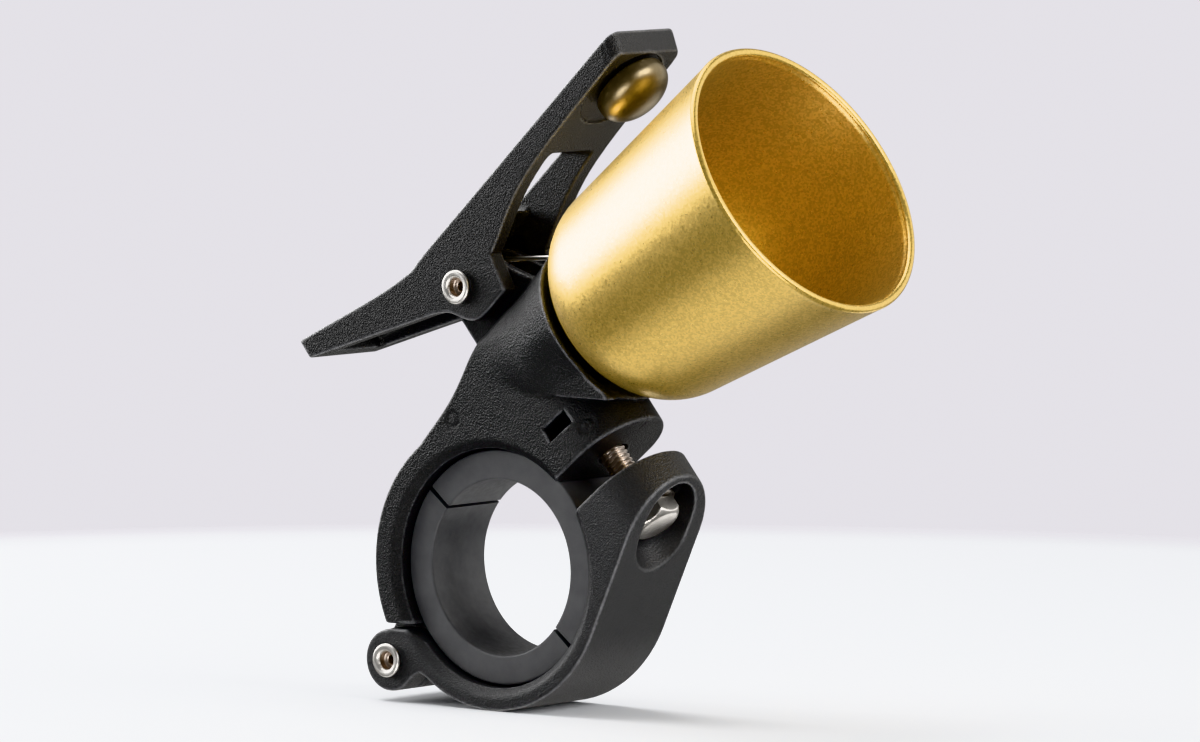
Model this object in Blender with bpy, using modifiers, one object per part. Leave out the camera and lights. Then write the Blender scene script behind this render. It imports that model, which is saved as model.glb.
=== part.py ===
"""Bicycle bell: a deep metal cup on a moulded base that clamps round a handlebar.

Frame: metres, +Z up, origin at the handlebar's centre, +Y along the handlebar.
The object is laid out in the XZ plane and is symmetric about Y = 0, but for the return spring.
"""

import math

import bmesh
import bpy
import numpy as np
from mathutils import Matrix, Vector
from mathutils.geometry import convex_hull_2d

# Clearances
FIT = 0.0003
RUNNING_GAP = 0.0008

# Handlebar, shims and clamp
BAR_RADIUS = 0.0127
SHIM_WALL = 0.0042
SHIM_WIDTH = 0.0120
SHIM_SPLIT_ANGLE = math.radians(140.5)
SHIM_SPLIT_GAP = 0.0006
CLAMP_WIDTH = 0.0170
CLAMP_LEAD_IN = 0.0011
ARCH_WALL = 0.0043
STRAP_WALL = 0.0032
STRAP_FACE_ANGLE = math.radians(65.6)
EAR_TILT = math.radians(39.7)
EAR_GAP = 0.0055
EAR_HEIGHT = 0.0070
EDGE_ROUND = 0.0006

# Clamp hinge
HINGE_ANGLE = math.radians(217.6)
HINGE_OFFSET = 0.0064
KNUCKLE_RADIUS = 0.0045
CENTRE_KNUCKLE_WIDTH = 0.0086
STRAP_START_ANGLE = math.radians(221.0)

# Clamp bolt, washer and nut
BOLT_OFFSET = 0.0057
BOLT_RADIUS = 0.0020
BOLT_LENGTH = 0.0200
BOLT_HEAD_FLATS = 0.0070
BOLT_HEAD_HEIGHT = 0.0028
BOLT_WASHER_RADIUS = 0.0045
BOLT_WASHER_THICKNESS = 0.0008
STRAP_FLOOR = 0.0031
COUNTERBORE_RADIUS = 0.0052
SLOT_STRETCH = 0.0020
NUT_SIZE = 0.0070
NUT_THICKNESS = 0.0022
NUT_DEPTH = 0.0046
NUT_WINDOW_WIDTH = 0.0045
BOLT_HOLE_END = 0.0010

# Bell cup, along its own axis from the outside of its base
BELL_TILT = math.radians(31.6)
BELL_BASE_X = 0.0140
BELL_BASE_Z = 0.0351
BELL_LENGTH = 0.0426
BELL_RIM_RADIUS = 0.02126
BELL_TAPER = math.radians(7.8)
BELL_BASE_ROUND = 0.0117
BELL_WALL = 0.0013

# Bell seat on the base
DAMPER_RADIUS = 0.0070
DAMPER_THICKNESS = 0.0014
FLANGE_RADIUS = 0.0126
FLANGE_RISE = 0.0007
FLANGE_LIP = 0.0013
FLARE_LENGTH = 0.0020
TRUNK_RADIUS = 0.0110
TRUNK_LENGTH = 0.0061
TRUNK_TAPER = math.radians(7.8)
TRUNK_TAIL_LENGTH = 0.0073
TRUNK_TAIL_RADIUS = 0.0062
NECK_RADIUS = 0.0084

# Bell screw, washer and insert
SCREW_RADIUS = 0.0025
SCREW_REACH = 0.0085
SCREW_HEAD_RADIUS = 0.0045
SCREW_HEAD_HEIGHT = 0.0028
SCREW_SOCKET_FLATS = 0.0030
SCREW_SOCKET_DEPTH = 0.0018
INNER_WASHER_RADIUS = 0.0052
INNER_WASHER_THICKNESS = 0.0010
LOCK_WASHER_RADIUS = 0.0042
LOCK_WASHER_THICKNESS = 0.0010
LOCK_WASHER_GAP = math.radians(16.0)
INSERT_WALL = 0.0010
INSERT_LENGTH = 0.0065

# Neck of the base, from the lever's pivot and the arch
PIVOT_X = -0.0064
PIVOT_Z = 0.04005
NECK_ANGLE = math.radians(127.8)
NECK_BOW = 0.0009
SHOULDER_X = 0.0038
SHOULDER_Z = -0.00735
LUG_RADIUS = 0.0049
LUG_PLATE = 0.0018
LUG_FOOT_X = 0.0024
LUG_FOOT_Z = -0.0105

# Rivets and the pivot's sleeve
RIVET_RADIUS = 0.0017
RIVET_BORE = 0.0013
RIVET_FLANGE_RADIUS = 0.00245
RIVET_FLANGE_THICKNESS = 0.0007
SLEEVE_WALL = 0.0006

# Lever, from its pivot
LEVER_WIDTH = 0.0152
LEVER_CHEEK = 0.0027
LEVER_WEB = 0.0020
LEVER_CORNER = 0.0024
TAIL_TIP_TOP = (-0.0300, -0.00925)
TAIL_BEND = (-0.0116, 0.00015)
ARM_BEND = (-0.0040, 0.00695)
ARM_END_TOP = (0.0278, 0.03755)
ARM_END_BELL = (0.0290, 0.03425)
ARM_WAIST = (0.0126, 0.01685)
ARM_NOTCH = (0.0059, 0.00495)
HUB_NOSE = (0.0086, 0.0000)
HUB_BOTTOM = (0.0030, -0.00465)
HUB_REAR = (-0.0030, -0.0039)
TAIL_UNDER = (-0.0109, -0.00615)
TAIL_TIP_BELL = (-0.0281, -0.01165)
TAIL_TIP_WALL = 0.0022
FORK_TOP_Z = 0.0195
WEB_END_Z = 0.0104

# Hammer, along the arm's bell side from its end
HAMMER_SETBACK = 0.0062
HAMMER_RADIUS = 0.0056
HAMMER_HEIGHT = 0.0044
HAMMER_EDGE = 0.0012
SHANK_RADIUS = 0.0017
HAMMER_WASHER_RADIUS = 0.0032
HAMMER_WASHER_THICKNESS = 0.0006
SPOT_FACE_DEPTH = 0.0004
HAMMER_CLINCH_RADIUS = 0.0024
HAMMER_CLINCH_HEIGHT = 0.0008

# Return spring
WIRE_RADIUS = 0.0004
SPRING_PITCH = 0.00125
SPRING_LONG_LEG = 0.0142
SPRING_LEG_RISE = math.radians(4.0)
SPRING_HOOK_FALL = math.radians(30.0)
SPRING_SHORT_LEG = 0.0058
SPRING_HOOK = 0.0020
CURL_POINTS = 10

# Curves of the bell seat's flare and tail
FLARE_POWER = 2.2
TAIL_POWER = 1.7

# Facets
ROUND_STEPS = 48
SMALL_STEPS = 24
BELL_STEPS = 56

# Sizes that follow from those above
SHIM_RADIUS = BAR_RADIUS + SHIM_WALL
SEAT_RADIUS = SHIM_RADIUS + FIT
ARCH_RADIUS = SEAT_RADIUS + ARCH_WALL
STRAP_RADIUS = SEAT_RADIUS + STRAP_WALL
CLAMP_HALF = CLAMP_WIDTH / 2
CENTRE_HALF = CENTRE_KNUCKLE_WIDTH / 2
BOLT_REACH = SEAT_RADIUS + BOLT_OFFSET
HINGE_REACH = SEAT_RADIUS + HINGE_OFFSET
HINGE = (HINGE_REACH * math.cos(HINGE_ANGLE), HINGE_REACH * math.sin(HINGE_ANGLE))
PIVOT = (PIVOT_X, PIVOT_Z)
ARCH_END_Z = HINGE[1] + KNUCKLE_RADIUS + RUNNING_GAP
BODY_EAR = EAR_GAP / 2
STRAP_EAR = -EAR_GAP / 2
COUNTERBORE_FLOOR = STRAP_EAR - STRAP_FLOOR
WASHER_TOP = COUNTERBORE_FLOOR - FIT
BOLT_SEAT = WASHER_TOP - BOLT_WASHER_THICKNESS - FIT
BOLT_TIP = BOLT_SEAT + BOLT_LENGTH
NUT_BOTTOM = BODY_EAR + NUT_DEPTH
SEAT_DEPTH = DAMPER_THICKNESS + 2 * FIT
INNER_BASE = BELL_WALL + FIT
LOCK_WASHER_SEAT = INNER_BASE + INNER_WASHER_THICKNESS + FIT
SCREW_SEAT = LOCK_WASHER_SEAT + LOCK_WASHER_THICKNESS + FIT
INSERT_RADIUS = SCREW_RADIUS + FIT + INSERT_WALL
LEVER_HALF = LEVER_WIDTH / 2
FORK_HALF = LEVER_HALF - LEVER_CHEEK
LUG_OUTER = FORK_HALF - FIT
LUG_INNER = LUG_OUTER - LUG_PLATE
SLEEVE_BORE = RIVET_RADIUS + FIT
SLEEVE_RADIUS = SLEEVE_BORE + SLEEVE_WALL
COIL_RADIUS = (SLEEVE_RADIUS + FIT + WIRE_RADIUS) / math.cos(math.pi / CURL_POINTS)
COIL_ROOM = 2 * (LUG_INNER - FIT - WIRE_RADIUS)
SPRING_PART_TURN = SPRING_HOOK_FALL - SPRING_LEG_RISE
SPRING_TURNS = int(COIL_ROOM / SPRING_PITCH - SPRING_PART_TURN / (2 * math.pi))
SPRING_SWEEP = 2 * math.pi * SPRING_TURNS + SPRING_PART_TURN
COIL_HALF = SPRING_SWEEP / (2 * math.pi) * SPRING_PITCH / 2


def clear_scene():
    """Remove every object, so that the script can be run again."""
    for obj in list(bpy.data.objects):
        bpy.data.objects.remove(obj, do_unlink=True)


def new_collection(name):
    collection = bpy.data.collections.new(name)
    bpy.context.scene.collection.children.link(collection)
    return collection


def make_material(name, colour, roughness, metallic):
    material = bpy.data.materials.new(name)
    material.use_nodes = True
    shader = material.node_tree.nodes["Principled BSDF"]
    shader.inputs["Base Color"].default_value = (*colour, 1.0)
    shader.inputs["Roughness"].default_value = roughness
    shader.inputs["Metallic"].default_value = metallic
    return material


def bell_axis_frame():
    """Local Z runs along the cup's axis from the outside of its base, local Y along the bar."""
    c, s = math.cos(BELL_TILT), math.sin(BELL_TILT)
    return Matrix(((s, 0, c, BELL_BASE_X), (0, 1, 0, 0), (-c, 0, s, BELL_BASE_Z), (0, 0, 0, 1)))


def bolt_frame():
    """Local Z runs up the clamp bolt into the base's ear, local X away from the handlebar."""
    c, s = math.cos(EAR_TILT), math.sin(EAR_TILT)
    return Matrix(((c, 0, -s, BOLT_REACH * c), (0, 1, 0, 0), (s, 0, c, BOLT_REACH * s), (0, 0, 0, 1)))


def side_frame(place=(0.0, 0.0)):
    """Local XY is the object's XZ plane through the place, and local Z points out of the front."""
    return Matrix(((1, 0, 0, place[0]), (0, 0, -1, 0), (0, 1, 0, place[1]), (0, 0, 0, 1)))


def on_bell_axis(along, across):
    """The XZ place at a distance along the cup's axis and square to it, upwards."""
    c, s = math.cos(BELL_TILT), math.sin(BELL_TILT)
    return (BELL_BASE_X + along * c - across * s, BELL_BASE_Z + along * s + across * c)


def on_bolt(out, up):
    """The XZ place at a distance out from the handlebar's centre and up the bolt."""
    c, s = math.cos(EAR_TILT), math.sin(EAR_TILT)
    return (out * c - up * s, out * s + up * c)


def from_pivot(offset):
    return (PIVOT_X + offset[0], PIVOT_Z + offset[1])


def arc(centre, radius, start, end, count):
    angles = np.linspace(start, end, count)
    return [(centre[0] + radius * math.cos(a), centre[1] + radius * math.sin(a)) for a in angles]


def smooth_run(points, steps):
    """A Catmull-Rom curve through the points, with the given steps between each two."""
    p = np.array(points, float)
    p = np.vstack((2 * p[0] - p[1], p, 2 * p[-1] - p[-2]))
    run = []
    for a, b, c, d in zip(p[:-3], p[1:-2], p[2:-1], p[3:]):
        for t in np.arange(steps) / steps:
            run.append(0.5 * (2 * b + (c - a) * t + (2 * a - 5 * b + 4 * c - d) * t**2
                              + (3 * b - a - 3 * c + d) * t**3))
    run.append(p[-2])
    return [tuple(q) for q in run]


def offset_run(points, distance):
    """The run moved sideways by the distance, to the right of its direction."""
    p = np.array(points, float)
    tangent = np.gradient(p, axis=0)
    tangent /= np.linalg.norm(tangent, axis=1)[:, None]
    moved = p + distance * np.stack((tangent[:, 1], -tangent[:, 0]), axis=1)
    return [tuple(q) for q in moved]


def hull(points):
    return [tuple(points[i]) for i in convex_hull_2d([Vector(p) for p in points])]


def rounded_bar(start, end, radius, count):
    """A bar along X with square start and a half-round end about the end's place."""
    nose = arc((end, 0.0), radius, -math.pi / 2, math.pi / 2, count)
    return [(start, -radius), *nose, (start, radius)]


def slot_outline(start, end, radius, count):
    """An obround along X about two centres."""
    right = arc((end, 0.0), radius, -math.pi / 2, math.pi / 2, count)
    left = arc((start, 0.0), radius, math.pi / 2, 3 * math.pi / 2, count)
    return right + left


class Workshop:
    """Makes objects in the parts' collection and tools in the cutters' collection."""

    def __init__(self):
        self.parts = new_collection("bicycle_bell")
        self.tools = new_collection("bicycle_bell_cutters")

    def link(self, name, mesh, frame, tool=False):
        obj = bpy.data.objects.new(name, mesh)
        obj.matrix_world = frame
        (self.tools if tool else self.parts).objects.link(obj)
        if tool:
            obj.hide_render = True
            obj.display_type = "WIRE"
        return obj

    def plate(self, name, outline, depth_from, depth_to, frame, tool=False):
        """A flat outline given a thickness between two depths along the frame's local Z."""
        curve = bpy.data.curves.new(name, "CURVE")
        curve.dimensions = "2D"
        curve.fill_mode = "BOTH"
        curve.extrude = abs(depth_to - depth_from) / 2
        spline = curve.splines.new("POLY")
        spline.points.add(len(outline) - 1)
        for point, (x, y) in zip(spline.points, outline):
            point.co = (x, y, 0.0, 1.0)
        spline.use_cyclic_u = True
        flat = bpy.data.objects.new(name + "_outline", curve)
        self.tools.objects.link(flat)
        mesh = self.to_mesh(flat)
        mesh.name = name
        return self.link(name, mesh, frame @ Matrix.Translation((0, 0, (depth_from + depth_to) / 2)), tool)

    def to_mesh(self, flat):
        """The evaluated mesh of a curve object, its caps welded, and the curve removed."""
        evaluated = flat.evaluated_get(bpy.context.evaluated_depsgraph_get())
        mesh = bpy.data.meshes.new_from_object(evaluated)
        bm = bmesh.new()
        bm.from_mesh(mesh)
        bmesh.ops.remove_doubles(bm, verts=bm.verts, dist=1e-7)
        bmesh.ops.recalc_face_normals(bm, faces=bm.faces)
        bm.to_mesh(mesh)
        bm.free()
        bpy.data.objects.remove(flat, do_unlink=True)
        return mesh

    def turned(self, name, profile, frame, steps, tool=False):
        """A profile of radius and height turned about local Z, running down its outer side.

        A profile that starts and ends on the axis is closed by it, and any other is a closed loop.
        """
        closed = profile[0][0] > 0.0
        bm = bmesh.new()
        verts = [bm.verts.new((radius, 0.0, height)) for radius, height in profile]
        for first, second in zip(verts, verts[1:]):
            bm.edges.new((first, second))
        if closed:
            bm.edges.new((verts[-1], verts[0]))
        mesh = bpy.data.meshes.new(name)
        bm.to_mesh(mesh)
        bm.free()
        obj = self.link(name, mesh, frame, tool)
        screw = obj.modifiers.new("turn", "SCREW")
        screw.steps = steps
        screw.render_steps = steps
        screw.use_merge_vertices = True
        screw.merge_threshold = 1e-7
        return obj

    def cylinder(self, name, radius, low, high, frame, steps, tool=False):
        bm = bmesh.new()
        bmesh.ops.create_cone(bm, cap_ends=True, segments=steps, radius1=radius, radius2=radius,
                              depth=high - low, matrix=Matrix.Translation((0, 0, (low + high) / 2)))
        mesh = bpy.data.meshes.new(name)
        bm.to_mesh(mesh)
        bm.free()
        return self.link(name, mesh, frame, tool)

    def box(self, name, low, high, frame, tool=False):
        low, high = Vector(low), Vector(high)
        size = high - low
        bm = bmesh.new()
        scale = Matrix.Diagonal((size.x, size.y, size.z, 1.0))
        bmesh.ops.create_cube(bm, size=1.0, matrix=Matrix.Translation((low + high) / 2) @ scale)
        mesh = bpy.data.meshes.new(name)
        bm.to_mesh(mesh)
        bm.free()
        return self.link(name, mesh, frame, tool)

    @staticmethod
    def combine(target, operation, *tools):
        for tool in tools:
            boolean = target.modifiers.new(tool.name, "BOOLEAN")
            boolean.operation = operation
            boolean.solver = "EXACT"
            boolean.object = tool

    @staticmethod
    def round_edges(obj, width, segments=1):
        bevel = obj.modifiers.new("round", "BEVEL")
        bevel.width = width
        bevel.segments = segments
        bevel.limit_method = "ANGLE"
        bevel.angle_limit = math.radians(50)

    @staticmethod
    def finish(obj, material):
        obj.data.materials.clear()
        obj.data.materials.append(material)
        obj.data.shade_smooth()
        obj.data.set_sharp_from_angle(angle=math.radians(35))
        return obj

    def axis(self, name, place, pieces):
        """An empty on a joint's axis, which carries the pieces that move about it."""
        empty = bpy.data.objects.new(name, None)
        empty.matrix_world = Matrix.Translation(place)
        self.parts.objects.link(empty)
        bpy.context.view_layer.update()
        for piece in pieces:
            piece.parent = empty
            piece.matrix_parent_inverse = empty.matrix_world.inverted()
        return empty


def clamp_bore(shop, name):
    """The clamp's round seat for the shims, with a lead-in at both ends."""
    past = CLAMP_HALF + CLAMP_LEAD_IN
    wide = SEAT_RADIUS + 2 * CLAMP_LEAD_IN
    inner = CLAMP_HALF - CLAMP_LEAD_IN
    profile = [(0.0, past), (wide, past), (SEAT_RADIUS, inner), (SEAT_RADIUS, -inner),
               (wide, -past), (0.0, -past)]
    return shop.turned(name, profile, side_frame(), 2 * ROUND_STEPS, tool=True)


def arch_outline():
    """The base's side view: upper arch, neck and the root of the bell seat, over the bar's bore."""
    neck_start = (ARCH_RADIUS * math.cos(NECK_ANGLE), ARCH_RADIUS * math.sin(NECK_ANGLE))
    shoulder = from_pivot((SHOULDER_X, SHOULDER_Z))
    chord = np.array(shoulder) - np.array(neck_start)
    middle = np.array(neck_start) + chord / 2
    bow = np.array((chord[1], -chord[0])) / np.linalg.norm(chord) * NECK_BOW
    neck = smooth_run([shoulder, tuple(middle + bow), neck_start], 6)
    arch_end = math.pi + math.asin(-ARCH_END_Z / ARCH_RADIUS)
    arch = arc((0.0, 0.0), ARCH_RADIUS, NECK_ANGLE, arch_end, 24)[1:]
    seat_top = on_bell_axis(-SEAT_DEPTH - FIT, NECK_RADIUS)
    seat_bottom = on_bell_axis(-SEAT_DEPTH - FIT, -NECK_RADIUS)
    inside_ear = BODY_EAR + 2 * EDGE_ROUND
    return [seat_top, *neck, *arch, (0.0, ARCH_END_Z), (0.0, 0.0), on_bolt(BOLT_REACH / 2, inside_ear),
            on_bolt(BOLT_REACH, inside_ear), seat_bottom]


def seat_profile():
    """The bell seat, down its outer side: lip, hollow flare, tapered trunk and the tail inside the neck."""
    lip_back = FLANGE_RISE - FLANGE_LIP
    trunk_start = lip_back - FLARE_LENGTH
    tail_start = trunk_start - TRUNK_LENGTH
    trunk_end_radius = TRUNK_RADIUS - TRUNK_LENGTH * math.tan(TRUNK_TAPER)
    flare = []
    for t in np.linspace(0.0, 1.0, 5):
        radius = TRUNK_RADIUS + (FLANGE_RADIUS - TRUNK_RADIUS) * (1.0 - t) ** FLARE_POWER
        flare.append((radius, lip_back - t * FLARE_LENGTH))
    tail = []
    for t in np.linspace(0.0, 1.0, 6):
        radius = trunk_end_radius - (trunk_end_radius - TRUNK_TAIL_RADIUS) * t**TAIL_POWER
        tail.append((radius, tail_start - t * TRUNK_TAIL_LENGTH))
    return [(0.0, FLANGE_RISE), (FLANGE_RADIUS - EDGE_ROUND, FLANGE_RISE),
            (FLANGE_RADIUS, FLANGE_RISE - EDGE_ROUND), *flare, *tail, (0.0, tail[-1][1])]


def seat_dish(shop):
    """What is cleared in the seat for the damping washer, the cup's round base, the insert and the screw."""
    top = FLANGE_RISE + BELL_BASE_ROUND
    wide = FLANGE_RADIUS + CLAMP_WIDTH
    insert_end = -SEAT_DEPTH - INSERT_LENGTH - 2 * FIT
    screw_end = -SCREW_REACH - 2 * FIT
    insert_hole = INSERT_RADIUS + FIT
    screw_hole = SCREW_RADIUS + FIT
    profile = [(0.0, top), (wide, top), (wide, FLANGE_RISE), (FLANGE_RADIUS - EDGE_ROUND, FLANGE_RISE),
               (DAMPER_RADIUS + FIT, -SEAT_DEPTH), (insert_hole, -SEAT_DEPTH), (insert_hole, insert_end),
               (screw_hole, insert_end), (screw_hole, screw_end), (0.0, screw_end)]
    return shop.turned("seat_dish", profile, bell_axis_frame(), ROUND_STEPS, tool=True)


def knuckle_root(inner, outer):
    """Where the centre knuckle grows out of the arch, between two radii."""
    z = ARCH_END_Z + ARCH_WALL / 2
    return [(-math.sqrt(radius**2 - z**2), z) for radius in (inner, outer)]


def make_base_body(shop, material):
    side = side_frame()
    bolt = bolt_frame()
    bell = bell_axis_frame()
    body = shop.plate("base_body", arch_outline(), -CLAMP_HALF, CLAMP_HALF, side)
    shop.round_edges(body, EDGE_ROUND)
    seat = shop.turned("seat", seat_profile(), bell, ROUND_STEPS, tool=True)
    ear = shop.plate("body_ear", rounded_bar(-CLAMP_HALF, 0.0, CLAMP_HALF, 17), BODY_EAR,
                     BODY_EAR + EAR_HEIGHT, bolt, tool=True)
    knuckle_points = arc(HINGE, KNUCKLE_RADIUS, 0.0, 2 * math.pi, SMALL_STEPS + 1)[:-1]
    knuckle_points += knuckle_root(SEAT_RADIUS - FIT, ARCH_RADIUS - EDGE_ROUND)
    knuckle = shop.plate("body_knuckle", hull(knuckle_points), -CENTRE_HALF, CENTRE_HALF, side, tool=True)
    shop.combine(body, "UNION", seat, ear, knuckle)
    lug_points = arc(PIVOT, LUG_RADIUS, 0.0, 2 * math.pi, ROUND_STEPS + 1)[:-1]
    lug_root = [from_pivot((LUG_FOOT_X, LUG_FOOT_Z)),
                on_bell_axis(-SEAT_DEPTH - FIT, NECK_RADIUS - EDGE_ROUND)]
    for label, near, far in (("front", LUG_INNER, LUG_OUTER), ("rear", -LUG_OUTER, -LUG_INNER)):
        lug = shop.plate("lug_" + label, hull(lug_points + lug_root), near, far, side, tool=True)
        shop.combine(body, "UNION", lug)
    long_way = 2 * CLAMP_WIDTH
    pivot_hole = shop.cylinder("pivot_hole", SLEEVE_RADIUS + FIT, -long_way, long_way, side_frame(PIVOT),
                               SMALL_STEPS, tool=True)
    hinge_hole = shop.cylinder("hinge_hole", RIVET_RADIUS + FIT, -long_way, long_way, side_frame(HINGE),
                               SMALL_STEPS, tool=True)
    bolt_hole = shop.cylinder("bolt_hole", BOLT_RADIUS + FIT, 0.0, BOLT_TIP + BOLT_HOLE_END, bolt,
                              SMALL_STEPS, tool=True)
    nut_half = NUT_SIZE / 2 + FIT
    nut_low, nut_high = NUT_BOTTOM - FIT, NUT_BOTTOM + NUT_THICKNESS + FIT
    nut_slot = shop.box("nut_slot", (-nut_half, -nut_half, nut_low), (nut_half, long_way, nut_high), bolt,
                        tool=True)
    window_half = NUT_WINDOW_WIDTH / 2
    window = shop.box("nut_window", (-window_half, -long_way, nut_low + FIT),
                      (window_half, 0.0, nut_high - FIT), bolt, tool=True)
    shop.combine(nut_slot, "UNION", bolt_hole, window)
    shop.combine(body, "DIFFERENCE", seat_dish(shop), clamp_bore(shop, "body_bore"), pivot_hole, hinge_hole,
                 nut_slot, spring_leg_hole(shop))
    return shop.finish(body, material)


def spring_leg_start():
    """Where the spring's long leg leaves the coil: its top, turned back by the leg's rise."""
    return from_pivot((-COIL_RADIUS * math.sin(SPRING_LEG_RISE), COIL_RADIUS * math.cos(SPRING_LEG_RISE)))


def spring_leg_hole(shop):
    """The hole in the seat's flange that holds the end of the spring's long leg."""
    x, z = spring_leg_start()
    c, s = math.cos(SPRING_LEG_RISE), math.sin(SPRING_LEG_RISE)
    frame = Matrix(((s, 0, c, x), (0, 1, 0, COIL_HALF), (-c, 0, s, z), (0, 0, 0, 1)))
    return shop.cylinder("leg_hole", WIRE_RADIUS + FIT, SPRING_LONG_LEG / 2, 2 * SPRING_LONG_LEG, frame,
                         SMALL_STEPS // 2, tool=True)


def strap_outline():
    """The strap's side view: an arc under the bar, then a straight face up to the bolt ear's end."""
    tangent_angle = STRAP_FACE_ANGLE - math.pi / 2
    ear_end = BOLT_REACH + CLAMP_HALF
    tangent = np.array((math.cos(tangent_angle), math.sin(tangent_angle))) * STRAP_RADIUS
    along = np.array((math.cos(STRAP_FACE_ANGLE), math.sin(STRAP_FACE_ANGLE)))
    out = np.array((math.cos(EAR_TILT), math.sin(EAR_TILT)))
    face_end = tangent + along * (ear_end - tangent @ out) / (along @ out)
    outer = arc((0.0, 0.0), STRAP_RADIUS, STRAP_START_ANGLE, tangent_angle + 2 * math.pi, 30)
    inner_angle = EAR_TILT + math.asin(STRAP_EAR / SEAT_RADIUS)
    bore_side = SEAT_RADIUS - CLAMP_LEAD_IN
    inner = arc((0.0, 0.0), bore_side, inner_angle, STRAP_START_ANGLE - 2 * math.pi, 30)
    return [*outer, tuple(face_end), on_bolt(ear_end, STRAP_EAR), on_bolt(bore_side, STRAP_EAR), *inner[1:]]


def make_clamp_strap(shop, material):
    side = side_frame()
    bolt = bolt_frame()
    long_way = 2 * CLAMP_WIDTH
    strap = shop.plate("clamp_strap", strap_outline(), -CLAMP_HALF, CLAMP_HALF, side)
    shop.round_edges(strap, EDGE_ROUND)
    round_plan = shop.plate("strap_plan", rounded_bar(-3 * BOLT_REACH, 0.0, CLAMP_HALF, 17),
                            -2 * STRAP_RADIUS, 2 * STRAP_RADIUS, bolt, tool=True)
    shop.combine(strap, "INTERSECT", round_plan)
    knuckle_points = arc(HINGE, KNUCKLE_RADIUS, 0.0, 2 * math.pi, SMALL_STEPS + 1)[:-1]
    root_angle = STRAP_START_ANGLE + KNUCKLE_RADIUS / STRAP_RADIUS
    root = [(radius * math.cos(root_angle), radius * math.sin(root_angle))
            for radius in (SEAT_RADIUS + FIT, STRAP_RADIUS - FIT)]
    knuckle = shop.plate("strap_knuckle", hull(knuckle_points + root), -CLAMP_HALF, CLAMP_HALF, side,
                         tool=True)
    shop.round_edges(knuckle, EDGE_ROUND)
    shop.combine(strap, "UNION", knuckle)
    gap_points = arc(HINGE, KNUCKLE_RADIUS + FIT, 0.0, 2 * math.pi, SMALL_STEPS + 1)[:-1]
    gap_points += knuckle_root(SEAT_RADIUS - RUNNING_GAP, ARCH_RADIUS)
    centre_gap = shop.plate("centre_gap", hull(gap_points), -CENTRE_HALF - FIT, CENTRE_HALF + FIT, side,
                            tool=True)
    hinge_hole = shop.cylinder("strap_hinge_hole", RIVET_RADIUS + FIT, -long_way, long_way, side_frame(HINGE),
                               SMALL_STEPS, tool=True)
    bolt_slot = shop.plate("bolt_slot", slot_outline(0.0, SLOT_STRETCH, BOLT_RADIUS + FIT, 9),
                           -long_way, 0.0, bolt, tool=True)
    counterbore = shop.plate("counterbore", slot_outline(0.0, SLOT_STRETCH, COUNTERBORE_RADIUS, 13),
                             -long_way, COUNTERBORE_FLOOR, bolt, tool=True)
    shop.combine(strap, "DIFFERENCE", clamp_bore(shop, "strap_bore"), centre_gap, hinge_hole, bolt_slot,
                 counterbore)
    return shop.finish(strap, material)


def make_shims(shop, material):
    """Two half rings that meet at a narrow gap on a slanted line through the bar's centre."""
    shims = []
    half_gap = SHIM_SPLIT_GAP / 2
    for label, turn in (("shim_upper", 0.0), ("shim_lower", math.pi)):
        first = SHIM_SPLIT_ANGLE + turn - math.pi
        outer_trim = math.asin(half_gap / SHIM_RADIUS)
        inner_trim = math.asin(half_gap / BAR_RADIUS)
        outer = arc((0, 0), SHIM_RADIUS, first + outer_trim, first + math.pi - outer_trim, ROUND_STEPS)
        inner = arc((0, 0), BAR_RADIUS, first + math.pi - inner_trim, first + inner_trim, ROUND_STEPS)
        shim = shop.plate(label, outer + inner, -SHIM_WIDTH / 2, SHIM_WIDTH / 2, side_frame())
        shims.append(shop.finish(shim, material))
    return shims


def make_clamp_bolt(shop, material):
    """A hex bolt whose head is chamfered on top and whose tip is chamfered too."""
    chamfer = BOLT_RADIUS / 4
    head_top = BOLT_SEAT - BOLT_HEAD_HEIGHT
    corner = BOLT_HEAD_FLATS / 2 / math.cos(math.pi / 6)
    flats = BOLT_HEAD_FLATS / 2
    blank = corner + chamfer
    profile = [(0.0, BOLT_TIP), (BOLT_RADIUS - chamfer, BOLT_TIP), (BOLT_RADIUS, BOLT_TIP - chamfer),
               (BOLT_RADIUS, BOLT_SEAT), (blank, BOLT_SEAT), (blank, head_top + 2 * chamfer),
               (flats, head_top), (0.0, head_top)]
    bolt = shop.turned("clamp_bolt", profile, bolt_frame(), SMALL_STEPS)
    hexagon = arc((0.0, 0.0), corner, 0.0, 2 * math.pi, 7)[:-1]
    flats_tool = shop.plate("head_flats", hexagon, head_top - FIT, BOLT_TIP + FIT, bolt_frame(), tool=True)
    shop.combine(bolt, "INTERSECT", flats_tool)
    return shop.finish(bolt, material)


def ring(shop, name, bore, radius, low, high, frame, material, steps=ROUND_STEPS):
    """A plain turned ring, such as a washer, a sleeve or an insert."""
    profile = [(radius, high), (radius, low), (bore, low), (bore, high)]
    return shop.finish(shop.turned(name, profile, frame, steps), material)


def make_clamp_nut(shop, material):
    half = NUT_SIZE / 2
    top = NUT_BOTTOM + NUT_THICKNESS
    nut = shop.box("clamp_nut", (-half, -half, NUT_BOTTOM), (half, half, top), bolt_frame())
    thread = shop.cylinder("nut_thread", BOLT_RADIUS + FIT, 0.0, BOLT_TIP, bolt_frame(), SMALL_STEPS,
                           tool=True)
    shop.combine(nut, "DIFFERENCE", thread)
    return shop.finish(nut, material)


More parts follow.
